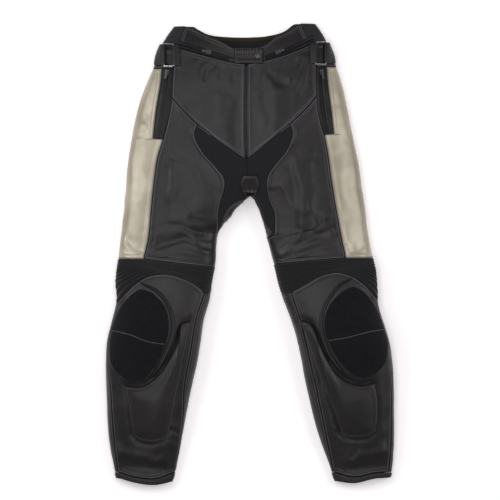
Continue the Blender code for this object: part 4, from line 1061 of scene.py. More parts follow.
MATERIALS = {
    "black_leather": leather("Satin black cowhide", "#131013", "#1b171a", 0.41),
    "champagne_leather": leather(
        "Pearl coated champagne cowhide", "#928a79", "#aaa292", 0.38, metallic=0.3, grain=0.0001, coat=0.1
    ),
    "strap_leather": leather("Black strap leather", "#151316", "#1c1a1d", 0.5),
    "stretch_cloth": woven("Black stretch knit", "#0b0a0d", "#151317", 2.6, 3.2, 0.25, sheen=0.12),
    "elastic_web": woven("Black woven elastic", "#0f0e11", "#1d1b20", 3.0, 2.2, 0.35, roughness=0.8),
    "lining_cloth": woven("Charcoal mesh lining", "#151417", "#28262b", 3.2, 3.2, 0.3),
    "olive_binding": woven("Olive cotton binding", "#211d13", "#352f20", 2.0, 2.0, 0.15, sheen=0.1),
    "hook_and_loop": looped_pile("Black looped pile", "#0b0b0e", "#16161a"),
    "zip_tape": glossy_tape("Laminated zip tape", "#070709", "#0d0c0e"),
    "chromed_steel": plated("Chromed steel wire", "#b9b9be", "#dcdce0", 0.16),
    "dark_zinc": plated("Dark plated zinc", "#434347", "#626267", 0.45),
    "thread": spun_thread("Charcoal bonded thread", "#55525a", "#6a676e"),
    "zip_teeth": plated("Black moulded zip teeth", "#26252a", "#3a393f", 0.35),
}
print("finishes:", ", ".join(material.name for material in MATERIALS.values()))

# %% [markdown]
# The waistband is cut in three: leather in front, stretch at the sides, leather behind. Below it
# lie the two fronts, the yokes under the adjusters, and the narrow zips of the hand pockets.

# %% Waistband and fronts
WEB_RIBS = 11
WEB_RIB_HEIGHT = 0.5

for side in SIDES:
    top, bottom = seam(side, "waist_top", 36), seam(side, "waist_bottom", 36)
    for edge in (top, bottom):
        edge[-1, 0] = centre(side, edge[-1, 1], HALF_SEAM)
    borders = box_of(side, top, bottom, seam(side, "elastic_front", 12), route((top[-1], bottom[-1]), 12))
    panel(f"waistband_front_{side}", side, "black_leather", borders)

    front = seam(side, "elastic_front", 12)
    y = front[:, 1] - BACK_DROP
    back = np.stack([outer_back(side, y), y], axis=-1)
    borders = box_of(side, *between(back, front, 48))
    waves = np.sin(np.linspace(0, WEB_RIBS * math.pi, len(spread(y))))[:, None]
    ribs = WEB_RIB_HEIGHT * waves ** 2
    panel(f"side_elastic_{side}", side, "elastic_web", borders, thick=1.6, high=ribs)

    front, foot = seam(side, "yoke_front", 14), seam(side, "yoke_bottom", 9)
    back = line(outer_back, side, front[0, 1] - BACK_DROP, foot[0, 1] - BACK_DROP, 14)
    borders = box_of(
        side, route((back[0], front[0]), 36), joined(route((back[-1], foot[0]), 27), foot), back, front
    )
    panel(f"side_yoke_{side}", side, "black_leather", borders)

    top = seam(side, "waist_bottom", 40)
    top[-1, 0] = centre(side, top[-1, 1], FLY_SLIT)
    bottom = joined(seam(side, "vee_outer", 17), seam(side, "vee_inner", 23))
    bottom[-1, 0] = centre(side, bottom[-1, 1], HALF_SEAM)
    left = joined(seam(side, "yoke_front", 22), seam(side, "pocket_front", 33))
    right = line(centre, side, top[-1, 1], bottom[-1, 1], 55, FLY_SLIT)
    right[-1] = bottom[-1]
    panel(f"front_{side}", side, "black_leather", box_of(side, top, bottom, left, right))

# %% [markdown]
# The side panels are pearl-coated leather and wrap round the hip to the back. They are kept plain.
# The thigh fronts run from the V seam to the knee.

# %% Side panels and thighs
def knit_head(side, count):
    """Seam between the thigh and the knee's stretch panel."""
    first = SEAMS[side]["knit_top"]
    end_y = first[-1][1]
    return route((*first[:2], (inner_back(side, end_y), end_y)), count)


def eased(side, start, low, count):
    """Points from a seam's end to the inseam, joined EASE lower; low is the share of it that is gone."""
    share = np.linspace(0, low, count + 1)
    y = start[1] - EASE * share
    fade = 1 - share * share * (3 - 2 * share)
    return np.stack([inner_back(side, y) + (start[0] - inner_back(side, start[1])) * fade, y], axis=-1)


for side in SIDES:
    front = joined(seam(side, "pocket_back", 35), seam(side, "pocket_foot", 5), seam(side, "gold_front", 60))
    y = front[:, 1] - BACK_DROP
    y[-1] = front[-1, 1]
    back = np.stack([outer_back(side, y), y], axis=-1)
    borders = box_of(side, *between(back, front, 24))
    panel(f"side_panel_{side}", side, "champagne_leather", borders)

    head = knit_head(side, 42)
    left = joined(seam(side, "pocket_front_low", 22), seam(side, "gold_front", 66))
    crotch = seam(side, "gusset_outer", 60)
    joining = eased(side, crotch[-1], 1, 12)
    inseam = line(inner_back, side, joining[-1, 1], head[-1, 1], 16)
    borders = box_of(side, seam(side, "vee_outer", 42), head, left, joined(crotch, joining, inseam))
    panel(f"thigh_front_{side}", side, "black_leather", borders)

# %% [markdown]
# A hand pocket's zip stands between two padded lips of glossy tape. The lips are one profile across
# the strip, high at each side and low in the slit, where the teeth lie.

# %% Pocket zips
# Shares of the strip's width, each with the height there
LIPS = (
    (0.0, 0.0), (0.07, 1.5), (0.25, 2.4), (0.4, 2.1), (0.47, 0.2),
    (0.53, 0.2), (0.6, 2.1), (0.75, 2.4), (0.93, 1.5), (1.0, 0.0),
)
ZIP_COLUMNS = 20


def lip_height(table):
    """Heights across a zip's strip: a smooth curve through the few points of a table."""
    return smooth(*np.array(table).T, spread(np.linspace(0, 1, ZIP_COLUMNS + 1)))


def pocket_sides(side):
    """The long seams of a pocket's zip, behind it and in front of it."""
    front = joined(seam(side, "pocket_front", 24), seam(side, "pocket_front_low", 32))
    return seam(side, "pocket_back", 56), front


for side in SIDES:
    borders = box_of(side, *between(*pocket_sides(side), ZIP_COLUMNS))
    panel(f"pocket_zip_{side}", side, "zip_tape", borders, high=lip_height(LIPS)[None, :], roll=0.3)

# %% [markdown]
# The gussets at the crotch are stretch cloth, cut round a leather patch. The patch is a saddle: it
# starts on the front, passes under the crotch and ends on the back.

# %% Gussets and crotch patch
def across_centre(grids, lifts):
    """Points of both sides as one grid. Each side's own grid starts at the centre line."""
    left, right = (skin(side, grids[side], lifts[side]) for side in SIDES)
    middle = (left[:, :1] + right[:, :1]) / 2
    return np.concatenate([left[:, :0:-1], middle, right[:, 1:]], axis=1)


def spanning(name, material, grids, low, high, roll=1.0, extra=0.0):
    """A cut piece across the centre line, with its edges rolled as a panel's are."""
    plain = across_centre(grids, dict.fromkeys(SIDES, 0.0))
    near = np.minimum.reduce(seam_distances(plain))
    count = grids["left"].shape[1] - 1
    lift = high - shoulder(near, ROLL, roll) + extra
    halves = {"left": lift[:, :count + 1][:, ::-1], "right": lift[:, count:]}
    faces = resting(across_centre(grids, halves), across_centre(grids, dict.fromkeys(SIDES, low)))
    piece = dressed(name, wall(name, *faces, near=near), material, (name,))
    size, area = flat_size(plain)
    told(name, size, area, piece)


TIP = (4, 2.8)  # size of the gusset's blunt upper tip
PUCKERS = 9
PUCKER_RISE, PUCKER_WAVE = 3.0, 0.8  # the patch's fullness, and how much it waves

for side in SIDES:
    sign = side_sign(side)
    outer = seam(side, "gusset_outer", 60)
    outer[0, 1] -= GAP
    outer = joined(outer, eased(side, outer[-1], 0.9, 12))
    tip = outer[0] + (-sign * TIP[0], -TIP[1])
    head = np.array(SEAMS[side]["patch_side"][0], float)
    low = np.array([centre(side, head[1], HALF_SEAM), head[1]])
    vee = route((tip, *SEAMS[side]["vee_inner"][1:]), 15)
    vee[-1, 0] = centre(side, vee[-1, 1], HALF_SEAM)
    flap = seam(side, "flap", 15)
    inner = joined(
        vee, route((vee[-1], low), 5), route((low, head), 5), seam(side, "patch_side", 20), flap,
        eased(side, flap[-1], 0.9, 12),
    )
    borders = box_of(side, *between(outer, inner, 24))
    panel(f"crotch_gusset_{side}", side, "stretch_cloth", borders, thick=1.2)

patch_grids = {}
for side in SIDES:
    ends = unrolled(side, seam(side, "patch_side", 20))
    ends[-1, 0] = 1
    drop = np.linspace(1, 0, 21) ** 2
    spine = np.stack([np.ones(21), CROTCH_Y + drop * (ends[0, 1] - CROTCH_Y)], axis=-1)
    share = np.linspace(0, 1, 13)[None, :, None]
    front = spine[:, None] * (1 - share) + ends[:, None] * share
    under = front[::-1][1:].copy()
    under[..., 0] = 2 - np.minimum(under[..., 0], 1 - HAIR)
    patch_grids[side] = np.concatenate([front, under])
sideways = np.linspace(-1, 1, 25)[None, :]
waves = np.sin(np.linspace(0, PUCKERS * math.pi, 41))
puckers = (PUCKER_RISE + PUCKER_WAVE * waves)[:, None] * (1 - sideways ** 2)
spanning("crotch_patch", "black_leather", patch_grids, -LEATHER, 0.4, extra=puckers)

# %% [markdown]
# Above each knee is a ribbed stretch panel, which lets the knee bend. Its ribs run across the leg
# and close up where the panel narrows over the kneecap. Below it is the shin, in one large piece.

# %% Ribbed knee panels and shins
RIB_HEIGHT = 2.8
RIB_PITCH = 5.0
RIB_ROWS = 8  # rows of the mesh in one rib
SHIN_COLUMNS = 45
LEG_ROWS = 98


def knee_corner(side, count):
    """Seam round the outer fold, from behind the knee to in front of the fold, as (turn, y)."""
    ends = np.array([(outer_back(side, KNEE_BACK_Y), KNEE_BACK_Y), SEAMS[side]["knit_bottom"][0]])
    return np.linspace(*unrolled(side, ends), count + 1)


def rib_wave(rows, pitch):
    """Height of the ribs: the square of a sine, one wave a rib. Where the ribs are closer than
    RIB_PITCH, they are lower in proportion."""
    wave = np.sin(np.pi * rows / RIB_ROWS) ** 2
    return RIB_HEIGHT * wave[:, None] * np.clip(pitch / RIB_PITCH, 0.25, 1)[None, :]


for side in SIDES:
    half = RIBS * RIB_ROWS // 2
    head, foot = knit_head(side, 36), seam(side, "knit_bottom", 54)
    head_back = np.array([outer_back(side, head[0, 1]), head[0, 1]])
    foot_inner = np.array([inner_back(side, foot[-1, 1]), foot[-1, 1]])
    top = joined(route((head_back, head[0]), 30), head)
    bottom = joined(foot, route((foot[-1], foot_inner), 12))
    left = line(outer_back, side, head_back[1], KNEE_BACK_Y, half)
    right = line(inner_back, side, head[-1, 1], foot_inner[1], 2 * half)
    borders = box_of(side, top, bottom, left, right)
    borders[2] = joined(borders[2], knee_corner(side, half))
    rows = spread(np.arange(2 * half + 1.0))
    fine = edged(blended(*borders))
    length = np.linalg.norm(np.diff(skin(side, fine), axis=0), axis=-1).sum(axis=0)
    on_top = np.clip(5 * np.sin(np.clip(fine[..., 0], 0, 1) * math.pi), 0, 1)
    ribs = rib_wave(rows, length / RIBS) * on_top
    panel(f"knee_knit_{side}", side, "stretch_cloth", borders, thick=1.4, high=ribs)

    borders = box_of(
        side, seam(side, "knit_bottom", SHIN_COLUMNS), seam(side, "hem_top", SHIN_COLUMNS),
        seam(side, "outer_strip", LEG_ROWS), seam(side, "inner_strip", LEG_ROWS),
    )
    panel(f"shin_front_{side}", side, "black_leather", borders)

    front = seam(side, "inner_strip", LEG_ROWS)
    back = line(inner_back, side, front[0, 1], HEM_Y, LEG_ROWS)
    panel(f"inner_strip_{side}", side, "black_leather", box_of(side, *between(front, back, 12)))

# %% [markdown]
# The leg ends in a narrow binding of strap leather, sewn on all round.

# %% Hem bindings
HEM_OVERLAP = 0.6  # how far the binding starts below the leather's edge
HEM_RISE = 1.0
HEM_BUMPS = 0.25

turns = np.linspace(0, 2, 121)[:-1]
shares = np.linspace(0, 1, 9)[:, None]
for side in SIDES:
    rows = []
    for name in ("hem_top", "hem_bottom"):
        found = unrolled(side, seam(side, name, 24))
        rows.append(np.interp(turns, found[:, 0], found[:, 1], period=2))
    rows[0] -= HEM_OVERLAP
    down = rows[0] + shares * (rows[1] - rows[0])
    grid = np.stack([np.broadcast_to(turns, down.shape), down], axis=-1)
    rise = GAP + HEM_RISE * np.sin(np.pi * np.clip(shares, 0.04, 0.96)) ** 0.5
    bumps = HEM_BUMPS * rolling(turns * 300, rows[0] * 0, 9, 3)[None, :]
    outer, inner = skin(side, grid, rise + bumps), skin(side, grid, -LEATHER)
    outer[..., 2] = np.maximum(outer[..., 2], 0)
    piece = dressed(
        f"hem_band_{side}", wall(f"hem_band_{side}", outer, inner, loop=True), "strap_leather",
        (f"hem_band_{side}",),
    )

# %% [markdown]
# The knee carries a pad under looped pile, where a knee slider is pressed on. A double piping runs
# round its inner side. Below it, a shin guard is moulded into the leather. All three are made from
# the shin's own skin, moved out, so they can't leave it.

# %% Knee patches, piping and shin guards
PATCH_RISE = 3.0
WELT_WIDTH = 9.0
WELT_TAPER = 16  # steps over which each end of the welt narrows
PIPING_RISE = 2.8
GUARD_RISE = 5.6
GUARD_CROWN = 7.5


def overlay(name, side, material, borders, high, edge, drop, low=SEAT, crown=0.0):
    """A piece on top of a panel. Its outer face is high, less a rounded shoulder that falls by drop
    over the width edge. A crown, crown (1 - (1 - n)^2), rises to the middle, where n is 1."""
    grid = edged(blended(*box_of(side, *borders)))
    plain = skin(side, grid)
    near = np.minimum.reduce(seam_distances(plain))
    high = high + crown * (1 - (1 - near / near.max()) ** 2)
    outer, inner = skin(side, grid, high - shoulder(near, edge, drop)), skin(side, grid, low)
    piece = dressed(name, wall(name, outer, inner, near=near), material, (name,))
    PANELS[name] = (side, grid, high + 0 * near)


for side in SIDES:
    cross = seam(side, "knee_cross", 40)
    halves = {
        "upper": (
            seam(side, "knee_top", 40), cross, seam(side, "knee_outer", 32),
            seam(side, "knee_inner", 32),
        ),
        "lower": (
            cross, seam(side, "knee_bottom", 40), seam(side, "knee_outer_low", 32),
            seam(side, "knee_inner_low", 32),
        ),
    }
    for half, borders in halves.items():
        overlay(f"knee_patch_{half}_{side}", side, "hook_and_loop", borders, PATCH_RISE, 2.5, 1.6)

    outer = seam(side, "welt", 96)
    towards = np.mean(SEAMS[side]["knee_cross"], axis=0) - outer
    steps = np.arange(len(outer))
    ended = np.clip(np.minimum(steps, steps[::-1]) / WELT_TAPER, 0, 1)[:, None] ** 0.5
    width = WELT_WIDTH * (0.2 + 0.8 * ended)
    inner = outer + towards / np.linalg.norm(towards, axis=1, keepdims=True) * width
    shares = spread(np.linspace(0, 1, 15))[None, :]
    ended = ended[np.linspace(0, steps[-1], len(spread(steps))).round().astype(int)]
    piping = 1.0 + PIPING_RISE * np.abs(np.sin(2 * np.pi * shares)) ** 0.6 * ended
    borders = between(inner, outer, 14)
    overlay(f"knee_welt_{side}", side, "black_leather", borders, piping, 3.0, 0.7)

    left, right = seam(side, "shin_outer", 60), seam(side, "shin_inner", 60)
    top, bottom = seam(side, "shin_top", 36), seam(side, "shin_bottom", 36)
    overlay(
        f"shin_guard_{side}", side, "black_leather", (top, bottom, left, right),
        LEATHER + SEAT + GUARD_RISE, 7.0, GUARD_RISE + 1.4, crown=GUARD_CROWN,
    )

# %% [markdown]
# The back. Each seat panel is one piece from the waistband to the knee and round the inner fold to
# the gusset. The calf runs round the outer fold. It all rests on the surface, so it is flat there
# and only hollows up in its creases.

# %% Seat and calves
def under_line(side, name, count):
    """A seam of the back, seen through the front, as (turn, y) on the underside."""
    return unrolled(side, seam(side, name, count), under=True)


for side in SIDES:
    head = under_line(side, "back_bottom", 36)[::-1]
    head[0, 0] = 1 + HAIR
    patch_head = SEAMS[side]["patch_side"][0]
    spine = np.stack([np.full(31, 1 + HAIR), np.linspace(head[0, 1], patch_head[1], 31)], axis=-1)
    round_patch = unrolled(side, seam(side, "patch_side", 24), under=True)
    round_patch[-1] = (1, round_patch[-1, 1])
    flap = seam(side, "flap", 18)
    joining = eased(side, flap[-1], 1, 12)
    inseam = line(inner_back, side, joining[-1, 1], KNEE_BACK_Y, 22)
    inner = np.concatenate([spine, round_patch, unrolled(side, joined(flap, joining, inseam))[1:]])
    y = np.linspace(head[-1, 1], KNEE_BACK_Y, len(inner))
    outer = unrolled(side, np.stack([outer_back(side, y), y], axis=-1), under=True)
    head[-1] = outer[0]
    foot = np.stack([np.linspace(inner[-1, 0], outer[-1, 0], 37), np.full(37, KNEE_BACK_Y)], axis=-1)
    panel(f"seat_{side}", side, "black_leather", (head, foot, inner, outer), flat=True)

    end_y = SEAMS[side]["knit_bottom"][-1][1]
    outer = joined(knee_corner(side, 14), unrolled(side, seam(side, "outer_strip", 84)))
    outer[:, 0] += 2
    inner = unrolled(side, joined(
        line(inner_back, side, KNEE_BACK_Y, end_y, 14), line(inner_back, side, end_y, HEM_Y, 84)
    ))
    head, foot = np.linspace(inner[0], outer[0], 43), np.linspace(inner[-1], outer[-1], 43)
    panel(f"calf_back_{side}", side, "black_leather", (head, foot, inner, outer))

# %% [markdown]
# Behind the fly, the back of the waistband shows its inside: a lining, and an olive binding along
# the top edge.

# %% Back waistband, facing and binding
FACING = 1.2
back_grids = {}
for side in SIDES:
    top, bottom = under_line(side, "back_top", 40)[::-1], under_line(side, "back_bottom", 40)[::-1]
    top[0, 0] = bottom[0, 0] = 1 + HAIR
    y = seam(side, "elastic_front", 15)[:, 1] - BACK_DROP
    outer = unrolled(side, np.stack([outer_back(side, y) + side_sign(side) * GAP, y], axis=-1), under=True)
    inner = np.stack([np.full(16, 1 + HAIR), np.linspace(top[0, 1], bottom[0, 1], 16)], axis=-1)
    top[-1], bottom[-1] = outer[0], outer[-1]
    bottom[:, 1] += GAP
    outer[-1, 1] += GAP
    inner[-1, 1] += GAP
    back_grids[side] = blended(top, bottom, inner, outer)
inside = -LEATHER - GAP
spanning("waistband_back", "black_leather", back_grids, -LEATHER, 0.0, roll=0.0)
shorter = {side: grid[:, :36] for side, grid in back_grids.items()}
spanning("back_facing", "lining_cloth", shorter, inside - FACING, inside, roll=0.0)
edge = {side: grid[:4] for side, grid in shorter.items()}
on_facing = inside - FACING - GAP
spanning("back_binding", "olive_binding", edge, on_facing - FACING, on_facing, roll=0.0)

# %% [markdown]
# The fly: a zip shows in the slit between the fronts, under a gathered tab with a press stud.

# %% Fly zip and waist tab
FLY = (404, 206)  # y of the tape's two ends
FLY_TAPE = 1.2
UNDER_FLY = -LEATHER - SEAT  # the tape's face, under the fronts
TAB = (440, 407)
TAB_REACH = {"left": 27, "right": 36}
GATHER_HEIGHT = 2.6
STITCH_DENT = 0.35


def half_band(side, y_top, y_bottom, reach, rows, columns):
    """Grid beside the centre line, from y_top to y_bottom and out to the reach."""
    y = np.linspace(y_top, y_bottom, rows + 1)[:, None] + np.zeros(columns + 1)
    x = centre(side, y) + side_sign(side) * np.linspace(0, reach, columns + 1)
    return np.stack([np.minimum(turn_at(side, x, y), 1), y], axis=-1)


fly_grids = {side: half_band(side, *FLY, 7, 60, 5) for side in SIDES}
spanning(
    "fly_zip", "zip_tape", fly_grids, UNDER_FLY - FLY_TAPE, UNDER_FLY, roll=0.0
)

tab_grids = {side: half_band(side, *TAB, reach, 24, 36) for side, reach in TAB_REACH.items()}
down = np.linspace(0, 1, 25)[:, None]
along = np.linspace(-1, 1, 73)[None, :]
waves = np.sin(along * 5 * np.pi + 0.8 * np.sin(3 * along)) ** 2
gathers = GATHER_HEIGHT * waves * np.exp(-((down / 0.32) ** 2))
line_of_stitches = -STITCH_DENT * np.exp(-(((down - 0.36) / 0.04) ** 2))
spanning(
    "waist_tab", "black_leather", tab_grids, GAP, GAP + LEATHER + 0.5, roll=1.4,
    extra=gathers + line_of_stitches,
)

# %% [markdown]
# The connection zips lie along the foot of the waistband, and join the pants to a jacket. Each is a
# tape with two raised lips.

# %% Connection zips
BAND = (
    (0.0, 0.9), (0.12, 2.2), (0.3, 2.4), (0.44, 1.2), (0.56, 1.2), (0.7, 2.4), (0.88, 2.2), (1.0, 0.9),
)
BAND_FOOT = 1.5  # above the waistband's seam
BAND_WIDTH = np.linspace(16, 10, 61)  # from its outer end to its inner end


def band_line(side, share):
    """Line along a connection zip, at a share of its width above its foot."""
    seam_below = route(SEAMS[side]["waist_bottom"][:3], 60)
    return seam_below + np.stack([0 * BAND_WIDTH, BAND_FOOT + BAND_WIDTH * share], axis=-1)


for side in SIDES:
    top, bottom = band_line(side, 1), band_line(side, 0)
    left, right = [route((top[i], bottom[i]), ZIP_COLUMNS) for i in (0, -1)]
    rise = lip_height(BAND)[:, None]
    borders = (top, bottom, left, right)
    overlay(f"connection_zip_{side}", side, "zip_tape", borders, rise, 1.0, 0.5, low=GAP)

# %% [markdown]
# Zip teeth and stitches are the same small shape hundreds of times, so one mesh holds a whole row.
# Each copy is a block with eight corners, set along a line on the skin.

# %% Rows of small blocks
CORNERS = np.array([(x, y, z) for z in (0, 1) for y in (-0.5, 0.5) for x in (-0.5, 0.5)])
FACES = np.array([(0, 2, 3, 1), (4, 5, 7, 6), (0, 1, 5, 4), (2, 6, 7, 3), (0, 4, 6, 2), (1, 3, 7, 5)])


def even_steps(side, path, lift, pitch):
    """Middles, directions and normals at even steps along a path of (turn, y) on the skin."""
    points = skin(side, path, lift)
    gone = np.concatenate([[0], np.cumsum(np.linalg.norm(np.diff(points, axis=0), axis=1))])
    count = max(int(gone[-1] / pitch), 1)
    where = (np.arange(count) + 0.5) * gone[-1] / count
    at = np.stack([np.interp(where, gone, points[:, i]) for i in range(3)], axis=-1)
    on = np.stack([np.interp(where, gone, path[:, i]) for i in (0, 1)], axis=-1)
    ahead = np.stack([np.interp(where, gone, np.gradient(points[:, i], gone)) for i in range(3)], axis=-1)
    ahead /= np.linalg.norm(ahead, axis=1, keepdims=True)
    return at, ahead, outward(side, on[:, 0], on[:, 1])


def block_row(middles, ahead, normals, long, wide, tall, taper=1.0):
    """Points and faces of a row of blocks: each corner is its middle, plus its shares of the three
    axes. The top is narrower by taper."""
    across = np.cross(normals, ahead)
    corners = CORNERS * (long, wide, tall)
    corners[4:, :2] *= taper
    points = (
        middles[:, None] + corners[None, :, :1] * ahead[:, None] + corners[None, :, 1:2] * across[:, None]
        + corners[None, :, 2:] * normals[:, None]
    )
    quads = FACES[None] + 8 * np.arange(len(middles))[:, None, None]
    return points.reshape(-1, 3) * MM, quads.reshape(-1, 4)


def rows_piece(name, rows, material):
    """One piece from several rows of blocks."""
    points = np.concatenate([row[0] for row in rows])
    starts = np.cumsum([0] + [len(row[0]) for row in rows[:-1]])
    quads = np.concatenate([row[1] + start for row, start in zip(rows, starts)])
    mesh = mesh_of(name, points, quads)
    mesh.shade_flat()
    dressed(name, mesh, material)


# %% [markdown]
# Moulded teeth: two rows side by side along the middle of each zip.

# %% Zip teeth
TOOTH = 2.4  # one tooth and its gap
TOOTH_LONG = 1.3
TOOTH_TAPER = 0.8


def teeth(side, path, lift, wide=1.5, tall=0.8):
    """A row of teeth along a path of (turn, y)."""
    return block_row(*even_steps(side, path, lift, TOOTH), TOOTH_LONG, wide, tall, TOOTH_TAPER)


for side in SIDES:
    back, front = pocket_sides(side)
    rows = []
    for share in (0.475, 0.525):
        path = unrolled(side, back * (1 - share) + front * share)[4:-2]
        rows.append(teeth(side, path, 0.25))
    rows_piece(f"pocket_teeth_{side}", rows, "zip_teeth")
    rows = []
    for share in (0.44, 0.56):
        path = unrolled(side, band_line(side, share))[2:-2]
        rows.append(teeth(side, path, 1.2, wide=1.7))
    rows_piece(f"connection_teeth_{side}", rows, "zip_teeth")
rows = []
for side in SIDES:
    y = np.linspace(402, 218, 60)
    path = np.stack([turn_at(side, centre(side, y, 0.7), y), y], axis=-1)
    rows.append(teeth(side, path, UNDER_FLY, tall=0.9))
rows_piece("fly_teeth", rows, "zip_teeth")

# %% [markdown]
# Topstitching. Next to a seam the two layers are sewn down with a row of long stitches, lighter
# than the leather. A row is found by going in from a border by a set distance. Real thread is
# 0.5 mm thick, and is drawn 1.1 mm wide so that a row still shows from above.

# %% Topstitching
STITCH_SIZE = (2.6, 1.1, 0.45)  # long, wide and tall
STITCH_TAPER = 0.6
NEAR_ROWS = 9  # rows of a panel's mesh beside a border, in which its stitches are looked for
# For each kind of panel, the borders that are sewn and how far in from each a row runs
ROWS = {
    "front": (("bottom", 2.8), ("bottom", 7.0), ("right", 6.0), ("left", 3.0), ("top", 3.0)),
    "waistband_front": (("top", 3.5), ("left", 3.0), ("left", 7.0)),
    "thigh_front": (("top", 3.0), ("left", 3.0), ("right", 3.0), ("bottom", 3.0)),
    "side_panel": (("right", 3.0), ("bottom", 3.0), ("left", 3.0)),
    "side_yoke": (("right", 3.0), ("bottom", 3.0)),
    "crotch_gusset": (("top", 2.5),),
    "shin_front": (("left", 3.0), ("right", 3.0), ("top", 3.0), ("bottom", 3.5)),
    "inner_strip": (("left", 3.0),),
    "knee_patch_upper": (("bottom", 1.6),),
    "seat": (("left", 3.0), ("left", 7.5), ("right", 3.0), ("top", 3.0), ("bottom", 3.0)),
    "calf_back": (("left", 3.0), ("top", 3.0), ("right", 3.0)),
}


def inset_row(name, border, distance):
    """Path of (turn, y) at a distance from one border of a panel, with the panel's own lift there."""
    side, grid, lift = PANELS[name]
    lift = np.broadcast_to(lift, grid.shape[:2])
    if border in ("left", "right"):
        grid, lift = grid.transpose(1, 0, 2), lift.T
    if border in ("bottom", "right"):
        grid, lift = grid[::-1], lift[::-1]
    points = skin(side, grid[:NEAR_ROWS])
    along = np.gradient(points[0], axis=0)
    along /= np.linalg.norm(along, axis=1, keepdims=True)
    square = np.linalg.norm(np.cross(points - points[:1], along[None]), axis=-1)
    square = np.maximum.accumulate(square, axis=0)
    row = np.clip((square < distance).sum(axis=0) - 1, 0, NEAR_ROWS - 2)
    pick = np.arange(grid.shape[1])
    span = np.maximum(square[row + 1, pick] - square[row, pick], 1e-6)
    share = np.clip((distance - square[row, pick]) / span, 0, 1)
    path = grid[row, pick] * (1 - share[:, None]) + grid[row + 1, pick] * share[:, None]
    height = lift[row, pick] * (1 - share) + lift[row + 1, pick] * share
    keep = slice(4, -4)
    return side, path[keep], height[keep]


for kind, borders in ROWS.items():
    for side in SIDES:
        rows = []
        for border, distance in borders:
            where, path, height = inset_row(f"{kind}_{side}", border, distance)
            steps = even_steps(where, path, height, STITCH)
            rows.append(block_row(*steps, *STITCH_SIZE, STITCH_TAPER))
        rows_piece(f"{kind}_stitches_{side}", rows, "thread")
print("stitched pieces:", 2 * len(ROWS))

# %% [markdown]
# The waist adjusters. A strap comes from the back, passes round a chromed wire ring and folds back
# on itself. A short loop of the same strap holds the ring's other side. A strap is a profile, the
# path of its middle line, thickened by half its webbing to each side and carried along the fold.

# %% Adjuster straps
WEB = 1.6  # thickness of the strap
WEB_EDGE = 0.05  # share of its width over which each side edge is rounded
WEB_THINNING = 0.7  # how much thinner it is at the very edge
TAIL_LIFT = 0.5
RING_WIRE = 1.3
RING_PLAY = 0.75  # between the ring's wire and the strap round it
RING_LENGTH = 22.0
ADJUSTER = {"left": (-184, 448, 401), "right": (162, 452, 405)}  # x, top and bottom of each ring


def along_fold(side, start, y, away):
    """Turn at a distance from a place, measured on the skin towards the outer fold."""
    turns = np.linspace(-0.9, 0.9, 181)
    points = surface(side, turns, np.full(181, float(y)))
    gone = np.concatenate([[0], np.cumsum(np.linalg.norm(np.diff(points, axis=0), axis=1))])
    here = np.interp(turn_at(side, start, np.array(float(y))), turns, gone)
    return np.interp(here - np.asarray(away, float), gone, turns)


def arc(middle, radius, first, last, count):
    """Points of an arc in the plane, its angles in degrees."""
    angles = np.radians(np.linspace(first, last, count))
    return [(middle[0] + radius * math.cos(a), middle[1] + radius * math.sin(a)) for a in angles]


def strap(name, side, start, y_range, path, material):
    """Webbing along a path of (distance on the skin, height over it), its side edges rounded."""
    path = np.array(path, float)
    ahead = np.gradient(path, axis=0)
    ahead /= np.linalg.norm(ahead, axis=1, keepdims=True)
    square = np.stack([-ahead[:, 1], ahead[:, 0]], axis=-1) * WEB / 2
    shares = np.array([0, 0.01, 0.03, 0.07, *np.linspace(0.13, 0.87, 12), 0.93, 0.97, 0.99, 1])
    thin = 1 - WEB_THINNING * (1 - np.clip(np.minimum(shares, 1 - shares) / WEB_EDGE, 0, 1)) ** 2
    faces = []
    for offset in (square, -square):
        rows = []
        for share, slim in zip(shares, thin):
            y = y_range[0] + share * (y_range[1] - y_range[0])
            away, lift = (path + offset * slim).T
            grid = np.stack([along_fold(side, start, y, away), np.full(len(path), y)], axis=-1)
            rows.append(skin(side, grid, lift))
        faces.append(np.stack(rows))
    return dressed(name, wall(name, *faces), material, (name,))


for side in SIDES:
    start, top, bottom = ADJUSTER[side]
    inset = RING_WIRE + 0.6
    y_range = (top - inset, bottom + inset)
    under = GAP + WEB / 2
    over = under + TAIL_LIFT + WEB + GAP
    loop = RING_WIRE + RING_PLAY + WEB / 2
    height = under + loop
    tail = [(away, under + TAIL_LIFT) for away in range(22, 0, -1)]
    lap = [(4, height + loop - 0.3), (7, over + 1.9), (10, over + 1.0), (13, over + 0.3)]
    lap += [(away, over) for away in range(16, 24, 1)]
    path = tail + arc((0, height), loop, 270, 90, 17) + lap
    piece = strap(f"adjuster_strap_{side}", side, start, y_range, path, "strap_leather")
    tab = [(away, under) for away in np.linspace(-34, -23, 9)] + [
        (away - RING_LENGTH, lift) for away, lift in arc((0, height), loop, 270, 450, 17)
    ] + [(-25, height + loop - 0.4), (-28, over + 1.0), (-31, over + 0.2), (-34, over - 0.1)]
    piece = strap(f"adjuster_web_{side}", side, start, y_range, tab, "strap_leather")

# %% [markdown]
# The rings, zip sliders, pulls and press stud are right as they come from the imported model. They
# keep their meshes and take the finishes of plated metal.

# %% Finishes of the hardware
KEPT = {
    "chromed_steel": [f"adjuster_ring_{side}" for side in SIDES],
    "dark_zinc": ["waist_snap"] + [
        f"{zip_name}_{piece}_{side}"
        for zip_name in ("pocket", "connection") for piece in ("slider", "pull") for side in SIDES
    ],
}
for material, nodes in KEPT.items():
    for node in nodes:
        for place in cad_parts[node].material_slots:
            place.material = MATERIALS[material]
print("kept from the model:", sum(map(len, KEPT.values())), "nodes")

# %% [markdown]
# The stage is a plain white surface in a light tent. A soft box stands on each side and draws the
# creases, a long narrow one hangs above, and the sky is even. The camera looks straight down and is
# orthographic, as the photograph has no visible perspective.

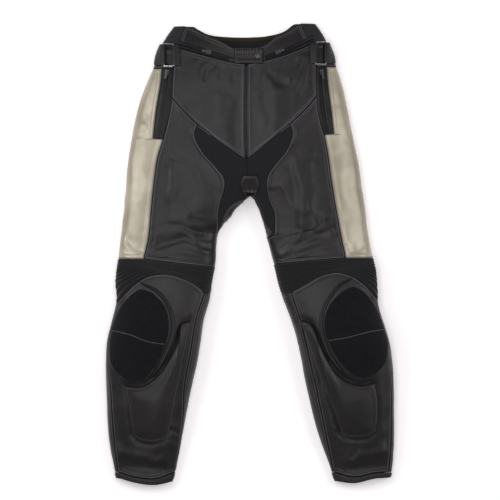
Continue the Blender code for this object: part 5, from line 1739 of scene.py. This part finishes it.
# %% Floor, lights and camera
PIXEL_MM = 2.15  # one pixel of the picture on the garment
FRAME_PIXELS = 500
PICTURE_MIDDLE_Y = 3 * PIXEL_MM  # the frame's middle above the tables' origin
FLOOR_HALF = 6.0  # half the floor's side, in metres
FLOOR_DROP = 0.0005  # how far it lies under the garment

corners = [(x * FLOOR_HALF, y * FLOOR_HALF, 0) for x, y in ((-1, -1), (1, -1), (1, 1), (-1, 1))]
floor_mesh = bpy.data.meshes.new("pale_floor")
floor_mesh.from_pydata(corners, [], [(0, 1, 2, 3)])
floor = bpy.data.objects.new("pale_floor", floor_mesh)
bpy.context.scene.collection.objects.link(floor)
floor.location.z = -FLOOR_DROP
# The sheet is lit from below as well, as in a light tent
paper = new_material(
    "Matte white paper", Base_Color=hex_colour("#fbf8f9"), Roughness=1.0, Specular_IOR_Level=0.0,
    Emission_Color=hex_colour("#fffafb"), Emission_Strength=0.3,
)[0]
floor_mesh.materials.append(paper)


def soft_light(name, size, watts, place, target=(0, 0, 0)):
    """An area light, width and height in metres, that faces its target."""
    data = bpy.data.lights.new(name, "AREA")
    data.shape = "RECTANGLE"
    data.size, data.size_y = size
    data.energy = watts
    light = bpy.data.objects.new(name, data)
    bpy.context.scene.collection.objects.link(light)
    light.location = place
    light.rotation_euler = (Vector(target) - Vector(place)).to_track_quat("-Z", "Y").to_euler()


soft_light("left_softbox", (1.3, 1.3), 22, (-1.7, 0.5, 1.5))
soft_light("right_softbox", (1.3, 1.3), 17, (1.7, 0.2, 1.5))
soft_light("overhead_strip", (0.5, 2.0), 9, (-0.15, 0.3, 1.6), (-0.15, 0.3, 0))

world = bpy.data.worlds.new("even_sky")
bpy.context.scene.world = world
world.use_nodes = True
world.node_tree.nodes["Background"].inputs["Color"].default_value = (1, 1, 1, 1)
world.node_tree.nodes["Background"].inputs["Strength"].default_value = 0.28
bpy.context.scene.view_settings.view_transform = "Standard"

camera_data = bpy.data.cameras.new("overhead_camera")
camera_data.type = "ORTHO"
camera_data.ortho_scale = FRAME_PIXELS * PIXEL_MM * MM
camera = bpy.data.objects.new("overhead_camera", camera_data)
bpy.context.scene.collection.objects.link(camera)
camera.location = (SHIFT[0] * MM, (PICTURE_MIDDLE_Y + SHIFT[1]) * MM, 2.0)
bpy.context.scene.camera = camera
